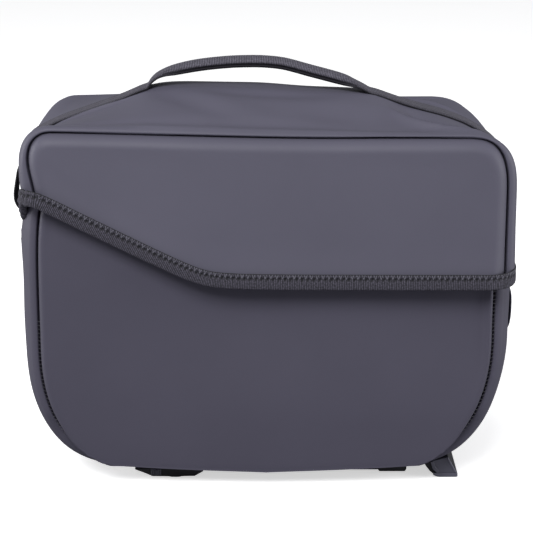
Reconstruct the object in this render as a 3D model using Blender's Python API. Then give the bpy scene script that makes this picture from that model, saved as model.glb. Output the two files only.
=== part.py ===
"""A bicycle trunk bag: a tub of coated fabric, a box lid with a slanting hem, a webbing handle and a rack adapter.

Metres, +Z up. +X runs to the right along the bag's width, +Y to its back. z = 0 is the plane that it stands on.
"""

import math
from collections import namedtuple

import bpy
from mathutils import Vector

# Clearances between pieces
GAP = 0.0003
SEAM_GAP = 0.0004

# Rack adapter under the base
SLAB_THICKNESS = 0.0022
PLATE_THICKNESS = 0.0044
PLATE_LEFT = 0.106
PLATE_RIGHT = 0.1194
PLATE_HALF_DEPTH = 0.058
ADAPTER_HALF_DEPTH = 0.067
LATCH_LEFT = 0.1008
LATCH_RIGHT = 0.0468
LATCH_LEFT_SLANT = 0.0155
LATCH_RIGHT_SLANT = 0.0085
KEEPER_LEFT = 0.0850
KEEPER_RIGHT = 0.1070
KEEPER_DEPTH = 0.0040
KEEPER_HEIGHT = 0.0042
FOOT_LEG = 0.0188
FOOT_LEAN = 0.0090
FOOT_LENGTH = 0.0260
FOOT_LIP = 0.0030
FOOT_ROUNDING = 0.0030
FOOT_HEEL = 0.4

# Tub of fabric, open at its rim, seen from the front
FABRIC = 0.0015
BODY_HALF_WIDTH = 0.1824
BODY_WIDEST = 0.115
BODY_LEAN = 0.0085
BODY_LEAN_POWER = 2.5
BODY_BELLY = SLAB_THICKNESS + PLATE_THICKNESS + 2 * GAP
BELLY_SAG = 0.0035
BODY_HEIGHT = 0.2328
BASE_CORNER_REACH = 0.060
BASE_CORNER_RISE = 0.100
BODY_SEAM_INSET = 0.0130
BELLY_SEAM_INSET = 0.0028

# Depths from the bag's middle plane to its seams and faces
BODY_FRONT_SEAM = 0.0800
BODY_BACK_SEAM = 0.0815
BODY_PANEL_ROLL = 0.0090
BODY_PANEL_STAND = 0.0062
BODY_PANEL_CROWN = 0.0022
PANEL_TUCK = 0.0024
LID_STEP = 0.0040
BACK_STEP = 0.0025
BACK_PANEL_CROWN = 0.0030

# Box lid that slips over the tub
LID_OVERHANG = 0.0018
LID_TUCK = 0.0017
LID_TUCK_TOP = 0.262
LID_TUCK_FOOT = 0.236
LID_RISE = 0.0256
LID_TILT = 0.0040
LID_TOP_SAG = 0.0017
LID_SEAM_INSET = 0.0127
LID_CORNER_REACH = 0.024
LID_CORNER_DROP = 0.032
LID_ROLL = 0.0095
LID_STAND = 0.0066
LID_CROWN = 0.0018
LID_FLARE = 0.0020
TOP_ROLL = 0.0064
TOP_ROLL_RIGHT = 0.45
BACK_TOP_ROLL = 0.0024
BACK_CORNER_SOFTENING = 1.35
CORNER_PINCH = 0.40
CORNER_PINCH_TOP = 0.010
CORNER_PINCH_FOOT = 0.038
RIDGE_DROP = 0.0078
RIDGE_CORNER = 0.0300
DOME = 0.0332

# Hem of the lid, as the height of the binding's lower edge
HEM_HEIGHT = 0.1539
HEM_SLOPE = 0.565
HEM_BEND = 0.0475
HEM_SOFTNESS = 0.032
HEM_CURL_DROP = 0.026
BINDING_WIDTH = 0.0118
BINDING_TAPE = 0.0010
BINDING_FOLD = 0.0036
BINDING_TURN = 14.0
BINDING_CORNER_REACH = 0.0206
BINDING_CORNER_RUN = 0.0345
BINDING_CORNER_POWER = 2.30
BINDING_CORNER_SHARES = (0.55, 0.9)
BINDING_EDGE = 0.2

# Webbing handle and loops
WEBBING_WIDTH = 0.0250
WEBBING_THICKNESS = 0.0016
GRIP_DEPTH = 0.0195
GRIP_THICKNESS = 0.0086
STRAP_SQUARENESS = 0.35
GRIP_SQUARENESS = 0.8
HANDLE_LEFT = 0.0897
HANDLE_RIGHT = 0.0784
HANDLE_LIFT = 0.0182
TAPE_END = 0.0360
LEFT_LOOP_TOP = 0.2290
LEFT_LOOP_LENGTH = 0.0325
LEFT_LOOP_BULGE = 0.0075
LOOP_FOOT = 0.0050
RIGHT_LOOP_TOP = 0.1430
RIGHT_LOOP_LENGTH = 0.0420
RIGHT_LOOP_PLACE = -0.018
RIGHT_LOOP_WIDTH = 0.0200
RIGHT_LOOP_BULGE = 0.0062

# Each side's own roundings and seams, as shares of the sizes above
Side = namedtuple(
    "Side",
    "sign body_seam lid_seam top_reach top_drop top_power ridge_reach ridge_drop base_reach base_rise base_power",
)
LEFT = Side(-1, 1.00, 1.00, 0.71, 0.66, 2.30, 0.73, 0.73, 1.12, 0.96, 2.28)
RIGHT = Side(1, 1.19, 0.80, 1.32, 1.34, 2.45, 1.20, 1.33, 1.12, 1.02, 2.16)

# Sections of the gusset from its seam to the middle: depth as a share of the seam's, inset as a share of the seam's
GussetRow = namedtuple("GussetRow", "depth inset")
GUSSET_SECTIONS = [
    GussetRow(1.000, 1.00),
    GussetRow(0.986, 0.72),
    GussetRow(0.958, 0.50),
    GussetRow(0.905, 0.31),
    GussetRow(0.800, 0.15),
    GussetRow(0.600, 0.05),
    GussetRow(0.300, 0.00),
    GussetRow(0.000, 0.00),
]

# Sections of the lid's band: depth, inset, and how much of the ridge's rise each one takes
BandRow = namedtuple("BandRow", "depth inset rise")
BAND_SECTIONS = [
    BandRow(1.000, 1.00, 0.00),
    BandRow(0.990, 0.72, 0.00),
    BandRow(0.965, 0.48, 0.01),
    BandRow(0.920, 0.30, 0.05),
    BandRow(0.840, 0.17, 0.16),
    BandRow(0.660, 0.05, 0.42),
    BandRow(0.430, 0.00, 0.74),
    BandRow(0.260, 0.00, 0.93),
    BandRow(0.158, 0.00, 1.00),
    BandRow(0.000, 0.00, 1.00),
]

# Ridge of the tented lid: place across as a share of the half width, rise as a share of the dome
RidgeRow = namedtuple("RidgeRow", "across rise")
RIDGE = [
    RidgeRow(-1.000, 0.00),
    RidgeRow(-0.930, 0.00),
    RidgeRow(-0.885, 0.08),
    RidgeRow(-0.850, 0.17),
    RidgeRow(-0.770, 0.33),
    RidgeRow(-0.687, 0.49),
    RidgeRow(-0.583, 0.70),
    RidgeRow(-0.488, 0.92),
    RidgeRow(-0.375, 1.00),
    RidgeRow(-0.065, 0.98),
    RidgeRow(0.137, 0.92),
    RidgeRow(0.424, 0.82),
    RidgeRow(0.488, 0.71),
    RidgeRow(0.550, 0.59),
    RidgeRow(0.634, 0.45),
    RidgeRow(0.716, 0.33),
    RidgeRow(0.800, 0.17),
    RidgeRow(0.850, 0.06),
    RidgeRow(0.900, 0.00),
    RidgeRow(1.000, 0.00),
]

# Hem on the left side, front to back: depth as a share of the lid's seam, drop as a share of the curl's
HemRow = namedtuple("HemRow", "depth drop")
LEFT_HEM = [
    HemRow(-1.10, 0.00),
    HemRow(-1.00, 0.06),
    HemRow(-0.93, 0.32),
    HemRow(-0.86, 0.72),
    HemRow(-0.78, 0.95),
    HemRow(-0.62, 1.10),
    HemRow(-0.35, 1.42),
    HemRow(-0.15, 1.60),
    HemRow(0.00, 1.64),
    HemRow(1.00, 1.64),
]

# Handle between its feet: place along as a share of its span, lift over the ridge, how far it is folded to a grip
HandleRow = namedtuple("HandleRow", "along lift grip")
HANDLE = [
    HandleRow(0.000, 0.06, 0.00),
    HandleRow(0.018, 0.30, 0.02),
    HandleRow(0.055, 0.53, 0.25),
    HandleRow(0.123, 0.70, 0.85),
    HandleRow(0.235, 0.84, 1.00),
    HandleRow(0.370, 0.94, 1.00),
    HandleRow(0.460, 0.99, 1.00),
    HandleRow(0.536, 1.00, 1.00),
    HandleRow(0.617, 0.95, 1.00),
    HandleRow(0.730, 0.76, 1.00),
    HandleRow(0.820, 0.56, 1.00),
    HandleRow(0.887, 0.38, 0.90),
    HandleRow(0.932, 0.27, 0.35),
    HandleRow(0.964, 0.16, 0.05),
    HandleRow(1.000, 0.06, 0.00),
]

# Places of the grid lines of a sewn panel, close together where its edge rolls over
EDGE_STEPS = [0.0000, 0.0006, 0.0040, 0.0100, 0.0200, 0.0360, 0.0750]


def clear_scene():
    for obj in list(bpy.data.objects):
        bpy.data.objects.remove(obj, do_unlink=True)


def material(name, colour, roughness, metallic=0.0):
    found = bpy.data.materials.new(name)
    found.use_nodes = True
    shader = found.node_tree.nodes["Principled BSDF"]
    shader.inputs["Base Color"].default_value = (*colour, 1.0)
    shader.inputs["Roughness"].default_value = roughness
    shader.inputs["Metallic"].default_value = metallic
    found.diffuse_color = (*colour, 1.0)
    return found


def mesh_object(name, points, faces, finish, smooth_angle=40):
    mesh = bpy.data.meshes.new(name)
    mesh.from_pydata(points, [], faces)
    mesh.validate()
    mesh.shade_smooth()
    mesh.set_sharp_from_angle(angle=math.radians(smooth_angle))
    mesh.materials.append(finish)
    obj = bpy.data.objects.new(name, mesh)
    bpy.context.scene.collection.objects.link(obj)
    return obj


def blend(low, high, share):
    return low + (high - low) * share


def smooth_step(low, high, value):
    share = min(1.0, max(0.0, (value - low) / (high - low)))
    return share * share * (3 - 2 * share)


def spline(rows, at):
    """Value at a place along rows of (place, value), on a smooth curve through them."""
    if at <= rows[0][0]:
        return rows[0][1]
    if at >= rows[-1][0]:
        return rows[-1][1]
    here = next(i for i in range(len(rows) - 1) if at <= rows[i + 1][0])

    def slope(i):
        before, after = max(i - 1, 0), min(i + 1, len(rows) - 1)
        return (rows[after][1] - rows[before][1]) / (rows[after][0] - rows[before][0])

    (x0, y0), (x1, y1) = rows[here], rows[here + 1]
    span = x1 - x0
    t = (at - x0) / span
    start = (2 * t**3 - 3 * t**2 + 1) * y0 + (t**3 - 2 * t**2 + t) * span * slope(here)
    return start + (3 * t**2 - 2 * t**3) * y1 + (t**3 - t**2) * span * slope(here + 1)


def along(points, share):
    """Point at a share of a line's length."""
    lengths = [(b - a).length for a, b in zip(points, points[1:])]
    left = share * sum(lengths)
    for a, b, length in zip(points, points[1:], lengths):
        if left <= length:
            return a.lerp(b, left / length)
        left -= length
    return points[-1].copy()


def outward(points, inside):
    """Unit normal of each point of a line in the XZ plane, facing away from an inner point."""
    normals = []
    for i in range(len(points)):
        run = points[min(i + 1, len(points) - 1)] - points[max(i - 1, 0)]
        normal = Vector((run.y, -run.x)).normalized()
        normals.append(normal if normal.dot(points[i] - inside) > 0 else -normal)
    return normals


def rounded_corner(centre, reach, rise, power, steps, start, end):
    """Points of a superellipse round its centre, between two angles in quarter turns."""
    found = []
    for i in range(steps + 1):
        angle = blend(start, end, i / steps) * math.pi / 2
        c, s = math.cos(angle), math.sin(angle)
        x = math.copysign(abs(c) ** (2 / power), c) * reach
        z = math.copysign(abs(s) ** (2 / power), s) * rise
        found.append(centre + Vector((x, z)))
    return found


def coons(bottom, top, left, right, across, up):
    """Grid of points between four edge lines. Bottom and top run left to right, left and right run up."""
    rows = []
    for v in up:
        row = []
        for u in across:
            edges = along(bottom, u) * (1 - v) + along(top, u) * v + along(left, v) * (1 - u) + along(right, v) * u
            corners = bottom[0] * (1 - u) * (1 - v) + bottom[-1] * u * (1 - v)
            corners += top[0] * (1 - u) * v + top[-1] * u * v
            row.append(edges - corners)
        rows.append(row)
    return rows


def distance_to(line, point):
    best = 1.0
    for a, b in zip(line, line[1:]):
        run = b - a
        share = min(1.0, max(0.0, (point - a).dot(run) / run.length_squared)) if run.length_squared else 0.0
        best = min(best, (a + run * share - point).length)
    return best


def walled_sheet(name, grid, wall, finish, flip=False):
    """A sheet of fabric from a grid of its outer points, thickened inwards."""
    wide = len(grid[0])
    points = [point for row in grid for point in row]
    faces = []
    for i in range(len(grid) - 1):
        for j in range(wide - 1):
            a = i * wide + j
            face = (a, a + 1, a + wide + 1, a + wide)
            faces.append(face[::-1] if flip else face)
    obj = mesh_object(name, points, faces, finish)
    thick = obj.modifiers.new("Fabric", "SOLIDIFY")
    thick.thickness = wall
    thick.offset = -1.0
    return obj


def swept(name, rings, finish, smooth_angle=40):
    """A closed solid through rings of points, with flat ends."""
    size = len(rings[0])
    points = [point for ring in rings for point in ring]
    faces = [tuple(reversed(range(size)))]
    for i in range(len(rings) - 1):
        for j in range(size):
            a, b = i * size + j, i * size + (j + 1) % size
            faces.append((a, b, b + size, a + size))
    last = (len(rings) - 1) * size
    faces.append(tuple(range(last, last + size)))
    obj = mesh_object(name, points, faces, finish, smooth_angle)
    return turned_out(obj)


def turned_out(obj):
    """Turns a closed mesh's faces out, whichever way round its rings ran."""
    mesh = obj.data
    mesh.calc_loop_triangles()
    volume = 0.0
    for triangle in mesh.loop_triangles:
        a, b, c = (mesh.vertices[i].co for i in triangle.vertices)
        volume += a.dot(b.cross(c))
    if volume < 0:
        mesh.flip_normals()
    return obj


# Outline of the tub


def body_side(z):
    """Half width of the tub's straight side at a height."""
    rim = BODY_BELLY + BODY_HEIGHT
    return BODY_HALF_WIDTH - BODY_LEAN * max(0.0, (z - BODY_WIDEST) / (rim - BODY_WIDEST)) ** BODY_LEAN_POWER


def body_corner_start(side):
    return BODY_BELLY + BELLY_SAG + BASE_CORNER_RISE * side.base_rise


def body_outline(side_steps=6, corner_steps=9, belly_steps=9):
    """The tub's outline at its full width: down the left side, along the base and up the right side."""
    points = []
    for side in (LEFT, RIGHT):
        start = body_corner_start(side)
        rim = BODY_BELLY + BODY_HEIGHT
        run = [blend(rim, start, i / side_steps) for i in range(side_steps)]
        straight = [Vector((side.sign * body_side(z), z)) for z in run]
        reach = BASE_CORNER_REACH * side.base_reach
        centre = Vector((side.sign * (body_side(start) - reach), start))
        rise = BASE_CORNER_RISE * side.base_rise
        corner = rounded_corner(centre, reach, -rise, side.base_power, corner_steps, 0, 1)
        if side.sign < 0:
            corner = [Vector((2 * centre.x - p.x, p.y)) for p in corner]
        half = straight + corner
        points += half if side.sign < 0 else list(reversed(half))
        if side.sign < 0:
            left_foot = half[-1]
    right_foot = points[len(points) // 2]
    belly = []
    for i in range(1, belly_steps):
        share = i / belly_steps
        sag = BELLY_SAG * (1 - (2 * share - 1) ** 2)
        belly.append(left_foot.lerp(right_foot, share) - Vector((0, sag)))
    half = len(points) // 2
    return points[:half] + belly + points[half:]


def body_seam_line(share=1.0):
    """The tub's outline drawn in towards its seam by a share of the seam's inset."""
    points = body_outline()
    normals = outward(points, Vector((0, BODY_BELLY + BODY_HEIGHT / 2)))
    found = []
    for point, normal in zip(points, normals):
        side = LEFT if point.x < 0 else RIGHT
        across = BODY_SEAM_INSET * side.body_seam
        inset = Vector((across * normal.x, blend(BELLY_SEAM_INSET, across, abs(normal.x)) * normal.y))
        found.append(point - inset * share)
    return found


# Outline of the lid


def lid_half_width():
    return BODY_HALF_WIDTH + LID_OVERHANG


def lid_top(x):
    """Height of the lid's top seam. It rises a little to the left and sags in the middle."""
    across = x / lid_half_width()
    level = BODY_BELLY + BODY_HEIGHT + LID_RISE + LID_TILT * smooth_step(0.3, -1.0, across)
    return level - LID_TOP_SAG * 0.25 * (1 - across**2)


def lid_tuck(z):
    """How far the lid's left side is drawn in towards its hem."""
    return LID_TUCK * smooth_step(LID_TUCK_TOP, LID_TUCK_FOOT, z)


def lid_seam_side(side):
    return lid_half_width() - LID_SEAM_INSET * side.lid_seam


def front_hem(x):
    """Height of the hem's lower edge across the front: level on the right, slanting up to the left."""
    past = -HEM_BEND - x
    return HEM_HEIGHT + HEM_SLOPE / 2 * (past + math.hypot(past, HEM_SOFTNESS))


def side_hem(side, y):
    """Height of the hem's lower edge along a side."""
    corner = front_hem(side.sign * lid_seam_side(side))
    if side.sign > 0:
        return corner
    return corner - HEM_CURL_DROP * spline(LEFT_HEM, y / lid_seam_depth())


def hem_chord(side, y):
    """Height of the hem along a side, straight between the lid's own sections."""
    places = sorted(sign * row.depth * lid_seam_depth() for sign in (-1, 1) for row in BAND_SECTIONS)
    for before, after in zip(places, places[1:]):
        if before <= y <= after:
            share = (y - before) / (after - before)
            return blend(side_hem(side, before), side_hem(side, after), share)
    return side_hem(side, y)


def above_tape(height, at):
    """Height of the fabric's own edge over the folded tape, whose gap is measured square to a sloping hem."""
    slope = (height(at + GAP) - height(at - GAP)) / (2 * GAP)
    return height(at) + (BINDING_TAPE + GAP) * math.hypot(1, slope)


def lid_seam_depth():
    return BODY_FRONT_SEAM + LID_STEP


def lid_run(y, edge, reach, drop, power, top, side_steps=5, corner_steps=6, top_steps=14):
    """A line up the left side, over the top and down the right, each size a function of the side."""
    points = []
    for side in (LEFT, RIGHT):
        turn = side.sign * (edge(side) - reach(side))
        centre = Vector((turn, top(turn) - drop(side)))
        hem = above_tape(lambda depth: side_hem(side, depth), y)
        run = [blend(hem, centre.y, i / side_steps) for i in range(side_steps)]
        straight = [Vector((side.sign * edge(side), z)) for z in run]
        corner = rounded_corner(Vector((0, 0)), reach(side), drop(side), power(side), corner_steps, 0, 1)
        half = straight + [centre + Vector((side.sign * p.x, p.y)) for p in corner]
        if side.sign < 0:
            points = half
        else:
            start, end = points[-1].x, half[-1].x
            across = [blend(start, end, i / top_steps) for i in range(1, top_steps)]
            points = points + [Vector((x, top(x))) for x in across] + list(reversed(half))
    return points


def lid_shoulder(y, inset):
    """The lid's outline between its seam, at an inset of 1, and its full width, at 0. Its back is softer."""
    soft = BACK_CORNER_SOFTENING if y > 0 else 1.0
    top_roll = BACK_TOP_ROLL if y > 0 else TOP_ROLL
    top = lid_top(0)
    points = lid_run(
        y,
        edge=lid_seam_side,
        reach=lambda side: LID_CORNER_REACH * side.top_reach * soft,
        drop=lambda side: LID_CORNER_DROP * side.top_drop * soft,
        power=lambda side: side.top_power,
        top=lid_top,
    )
    found = []
    for point, normal in zip(points, outward(points, Vector((0, HEM_HEIGHT)))):
        side = LEFT if point.x < 0 else RIGHT
        roll = top_roll * blend(1.0, TOP_ROLL_RIGHT, smooth_step(-1.0, 1.0, point.x / lid_half_width()))
        pinch = 1 - CORNER_PINCH * smooth_step(top - CORNER_PINCH_FOOT, top - CORNER_PINCH_TOP, point.y)
        if side.sign > 0 and y < 0:
            pinch = 1.0
        outset = Vector((LID_SEAM_INSET * side.lid_seam * pinch * normal.x, roll * normal.y))
        found.append(point + outset * (1 - inset))
    return found


def lid_ridge(y):
    """The lid's outline on its ridge: softer corners, drawn down by the webbing, and the dome between them."""
    base = lid_top(0) - RIDGE_DROP
    points = lid_run(
        y,
        edge=lambda side: lid_half_width(),
        reach=lambda side: RIDGE_CORNER * side.ridge_reach,
        drop=lambda side: RIDGE_CORNER * side.ridge_drop,
        power=lambda side: side.base_power,
        top=lambda x: base,
    )
    for point in points:
        point.y += DOME * spline(RIDGE, point.x / lid_half_width())
    return points


def lid_outline(y, inset, rise):
    """One section of the lid's band, passing from its shoulder to its ridge."""
    points = [low.lerp(high, rise) for low, high in zip(lid_shoulder(y, inset), lid_ridge(y))]
    for point in points:
        if point.x < 0:
            point.x += lid_tuck(point.y)
    return points


def lid_side(side, y):
    """Half width of the lid at a depth, on its outer face along the hem."""
    share = abs(y) / lid_seam_depth()
    inset = BAND_SECTIONS[0].inset
    for far, near in zip(BAND_SECTIONS, BAND_SECTIONS[1:]):
        if near.depth <= share <= far.depth:
            ends = (row.inset * (1 - row.rise) for row in (near, far))
            inset = blend(*ends, (share - near.depth) / (far.depth - near.depth))
    tuck = lid_tuck(side_hem(side, y)) if side.sign < 0 else 0.0
    return lid_half_width() - LID_SEAM_INSET * side.lid_seam * inset - tuck


# Fabric pieces


def panel_depth(distance, roll, stand, crown, reach):
    """How far a panel stands out past its seam at a distance from it: a rolled edge, then a crown."""
    near = max(0.0, 1 - distance / roll)
    rolled = stand * math.sqrt(max(0.0, 1 - near**2))
    return rolled + crown * (1 - (1 - min(1.0, distance / reach)) ** 2)


def mirrored_steps(middle):
    inner = [blend(EDGE_STEPS[-1], 1 - EDGE_STEPS[-1], i / middle) for i in range(1, middle)]
    return EDGE_STEPS + inner + [1 - step for step in reversed(EDGE_STEPS)]


def one_sided_steps(middle):
    inner = [blend(EDGE_STEPS[-1], 1.0, i / middle) for i in range(1, middle + 1)]
    return EDGE_STEPS + inner


def split_outline(line, side_steps, corner_steps):
    """Cuts an outline at the middle of its two corners: left side, middle run and right side."""
    cut = side_steps + corner_steps // 2
    return line[: cut + 1], line[cut : len(line) - cut], line[len(line) - cut - 1 :]


def front_panel(finish):
    line = body_seam_line()
    left, base, right = split_outline(line, 6, 9)
    rim = [line[0], line[-1]]
    grid = coons(base, rim, left[::-1], right, mirrored_steps(8), one_sided_steps(7))
    rows = []
    for row in grid:
        rows.append([])
        for point in row:
            distance = distance_to(line, point)
            stand = panel_depth(distance, BODY_PANEL_ROLL, BODY_PANEL_STAND, BODY_PANEL_CROWN, BODY_HEIGHT / 2)
            tuck = PANEL_TUCK * smooth_step(HEM_HEIGHT, BODY_BELLY + BODY_HEIGHT, point.y)
            stand -= tuck * min(1.0, distance / BODY_PANEL_ROLL)
            rows[-1].append(Vector((point.x, -(BODY_FRONT_SEAM + SEAM_GAP + stand), point.y)))
    return walled_sheet("front_panel", rows, FABRIC, finish)


def body_gusset(finish):
    rows = []
    for row in GUSSET_SECTIONS:
        line = body_seam_line(row.inset)
        rows.append([Vector((p.x, -BODY_FRONT_SEAM * row.depth, p.y)) for p in line])
    for row in reversed(GUSSET_SECTIONS[:-1]):
        line = body_seam_line(row.inset)
        rows.append([Vector((p.x, BODY_BACK_SEAM * row.depth, p.y)) for p in line])
    return walled_sheet("body_gusset", rows, FABRIC, finish, flip=True)


def lid_band(finish):
    rows = []
    for sign, sections in ((-1, BAND_SECTIONS), (1, reversed(BAND_SECTIONS[:-1]))):
        for row in sections:
            y = sign * lid_seam_depth() * row.depth
            line = lid_outline(y, row.inset, row.rise)
            rows.append([Vector((p.x, y, p.y)) for p in line])
    return walled_sheet("lid_band", rows, FABRIC, finish)


def lid_face_stand(distance, z):
    """How far the lid's front stands out past its seam: it flares a little towards its free hem."""
    flare = LID_FLARE * smooth_step(BODY_BELLY + BODY_HEIGHT + LID_RISE, HEM_HEIGHT, z)
    reach = (BODY_BELLY + BODY_HEIGHT + LID_RISE - HEM_HEIGHT)
    return panel_depth(distance, LID_ROLL, LID_STAND, LID_CROWN, reach) + flare * min(1.0, distance / LID_ROLL)


def lid_front(finish):
    line = lid_outline(-lid_seam_depth(), 1.0, 0.0)
    left, top, right = split_outline(line, 5, 6)
    start, end = line[0].x, line[-1].x
    hem_steps = 40
    hem = []
    for i in range(hem_steps + 1):
        x = blend(start, end, i / hem_steps)
        hem.append(Vector((x, above_tape(front_hem, x))))
    hem[0], hem[-1] = line[0], line[-1]
    up = [1 - step for step in reversed(one_sided_steps(6))]
    grid = coons(hem, top, left, right[::-1], mirrored_steps(12), up)
    rows = []
    for row in grid:
        rows.append([])
        for point in row:
            stand = lid_face_stand(distance_to(line, point), point.y)
            rows[-1].append(Vector((point.x, -(lid_seam_depth() + SEAM_GAP + stand), point.y)))
    return walled_sheet("lid_front", rows, FABRIC, finish)


def back_outline():
    """The back panel's seam: the tub's below, passing to the lid's above the hem."""
    tub = body_seam_line()
    lid = lid_outline(lid_seam_depth(), 1.0, 0.0)
    found = []
    for side, points in ((LEFT, tub[: len(tub) // 2]), (RIGHT, tub[len(tub) // 2 :])):
        low = side_hem(side, lid_seam_depth())
        kept = [p for p in points if p.y < low]
        found += kept
    return found, lid


def back_panel(finish):
    tub, lid = back_outline()
    cut = 5 + 3
    left = lid[: cut + 1]
    top = lid[cut : len(lid) - cut]
    right = lid[len(lid) - cut - 1 :]
    base_cut = next(i for i, p in enumerate(tub) if p.y < body_corner_start(LEFT)) + 4
    end_cut = len(tub) - 1 - (next(i for i, p in enumerate(reversed(tub)) if p.y < body_corner_start(RIGHT)) + 4)
    left_line = list(reversed(tub[: base_cut + 1])) + left
    right_line = tub[end_cut:] + list(reversed(right))
    base = tub[base_cut : end_cut + 1]
    grid = coons(base, top, left_line, right_line, mirrored_steps(6), mirrored_steps(6))
    border = tub + list(reversed(lid))
    border.append(border[0])
    rows = []
    for row in grid:
        rows.append([])
        for point in row:
            distance = distance_to(border, point)
            side = LEFT if point.x < 0 else RIGHT
            low = side_hem(side, lid_seam_depth())
            seam = BODY_BACK_SEAM + BACK_STEP * smooth_step(low - 2 * LID_STEP, low, point.y)
            stand = panel_depth(distance, BODY_PANEL_ROLL, BODY_PANEL_STAND, BACK_PANEL_CROWN, BODY_HEIGHT / 2)
            rows[-1].append(Vector((point.x, seam + SEAM_GAP + stand, point.y)))
    return walled_sheet("back_panel", rows, FABRIC, finish, flip=True)


# Tape, webbing and loops


def hem_path():
    """Points along the lid's free edge with the direction out of the fabric: left side, front, right side."""
    face = lid_seam_depth() + SEAM_GAP + LID_STAND + LID_FLARE + LID_CROWN + GAP
    turn = -(face - BINDING_CORNER_RUN)
    places = [sign * row.depth for sign in (-1, 1) for row in BAND_SECTIONS[3:]]
    sides = sorted({place * lid_seam_depth() for place in places if place * lid_seam_depth() > turn}, reverse=True)
    halves = []
    for side in (LEFT, RIGHT):
        edge = lid_side(side, turn) + GAP
        line = [(side.sign * (lid_side(side, y) + GAP), y) for y in sides]
        centre = (edge - BINDING_CORNER_REACH, turn)
        power = BINDING_CORNER_POWER / side.lid_seam
        corner = rounded_corner(Vector(centre), BINDING_CORNER_REACH, -BINDING_CORNER_RUN, power, 9, 0, 1)
        line += [(side.sign * p.x, p.y) for p in corner]
        line += [(side.sign * centre[0] * (1 - i / 15), -face) for i in range(1, 15)]
        halves.append(line)
    plan = halves[0] + [(0.0, -face)] + halves[1][::-1]
    path = []
    for i, (x, y) in enumerate(plan):
        before, after = plan[max(i - 1, 0)], plan[min(i + 1, len(plan) - 1)]
        run = Vector((after[0] - before[0], after[1] - before[1]))
        side = LEFT if x < 0 else RIGHT
        round_corner = smooth_step(*(turn - BINDING_CORNER_RUN * share for share in BINDING_CORNER_SHARES), y)
        height = blend(hem_chord(side, y), front_hem(x), round_corner)
        path.append((Vector((x, y, height)), Vector((run.y, -run.x, 0)).normalized()))
    return path


def hem_binding(finish):
    """Tape on the lid's free edge: a leg up its outside and a fold under it, both set upright along the slope."""
    rings = []
    for place, out in hem_path():
        tape, width = BINDING_TAPE, BINDING_WIDTH
        turning = min(1.0, BINDING_TURN * abs(out.x * out.y))
        fold = blend(blend(BINDING_FOLD, FABRIC + GAP, abs(out.x)), GAP, turning)
        edge = BINDING_EDGE * tape
        section = [(tape, edge), (tape, width), (0, width), (0, tape), (-fold, tape), (-fold, 0), (tape - edge, 0)]
        rings.append([place + out * across + Vector((0, 0, rise)) for across, rise in section])
    return swept("hem_binding", rings, finish)


def ridge_height(x):
    """Height of the lid's outer face on its ridge."""
    line = lid_ridge(0.0)
    for a, b in zip(line, line[1:]):
        if a.x <= x <= b.x:
            return blend(a.y, b.y, (x - a.x) / (b.x - a.x))
    return max(p.y for p in line)


def handle_path():
    """Points along the webbing with how far it is folded to a grip: up the left of the lid, over and down."""
    line = lid_outline(0.0, 0.0, 1.0)
    normals = outward(line, Vector((0, HEM_HEIGHT)))
    seat = GAP + WEBBING_THICKNESS / 2
    lying = [(p + n * seat, 0.0) for p, n in zip(line, normals)]
    low = {-1: LEFT_LOOP_TOP, 1: side_hem(RIGHT, 0.0) + BINDING_WIDTH + TAPE_END}
    left = [q for q in lying if q[0].x < -HANDLE_LEFT - WEBBING_THICKNESS and q[0].y > low[-1]]
    right = [q for q in lying if q[0].x > HANDLE_RIGHT + WEBBING_THICKNESS and q[0].y > low[1]]
    free = []
    steps = 30
    for i in range(steps + 1):
        share = i / steps
        x = blend(-HANDLE_LEFT, HANDLE_RIGHT, share)
        lift = HANDLE_LIFT * spline([(row.along, row.lift) for row in HANDLE], share)
        grip = spline([(row.along, row.grip) for row in HANDLE], share)
        free.append((Vector((x, ridge_height(x) + max(lift, seat))), min(1.0, max(0.0, grip))))
    return left + free + right


def oval(centre, out, across, half_width, half_height, squareness):
    """Ring of a webbing's section: nearly a flat strip, or an oval where it is folded to a grip."""
    ring = []
    for i in range(10):
        angle = 2 * math.pi * (i + 0.5) / 10
        c, s = math.cos(angle), math.sin(angle)
        x = math.copysign(abs(c) ** squareness, c) * half_width
        y = math.copysign(abs(s) ** squareness, s) * half_height
        ring.append(centre + across * x + out * y)
    return ring


def handle_webbing(finish):
    path = handle_path()
    rings = []
    for i, (place, grip) in enumerate(path):
        run = path[min(i + 1, len(path) - 1)][0] - path[max(i - 1, 0)][0]
        out = Vector((-run.y, 0, run.x)).normalized()
        width = blend(WEBBING_WIDTH, GRIP_DEPTH, grip) / 2
        height = blend(WEBBING_THICKNESS, GRIP_THICKNESS, grip) / 2
        centre = Vector((place.x, 0, place.y))
        rings.append(oval(centre, out, Vector((0, 1, 0)), width, height, blend(STRAP_SQUARENESS, GRIP_SQUARENESS, grip)))
    return swept("handle_webbing", rings, finish, 60)


def loop(name, sign, face, top, length, width, bulge, middle, finish):
    """A loop sewn to a side by its two feet, arching out between them."""
    half = WEBBING_THICKNESS / 2
    steps = 16
    path = []
    for i in range(steps + 1):
        share = i / steps
        z = top - share * length
        foot = LOOP_FOOT / length
        rise = smooth_step(0, 0.5 - foot, min(share, 1 - share) - foot)
        path.append(Vector((face(z) + GAP + half + bulge * rise, z)))
    rings = []
    for i, place in enumerate(path):
        run = path[min(i + 1, steps)] - path[max(i - 1, 0)]
        out = Vector((-run.y, run.x)).normalized()
        ring = []
        for y, side in ((-width / 2, -half), (width / 2, -half), (width / 2, half), (-width / 2, half)):
            flat = place + out * side
            ring.append(Vector((sign * flat.x, middle + y, flat.y)))
        rings.append(ring)
    return swept(name, rings, finish)


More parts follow.
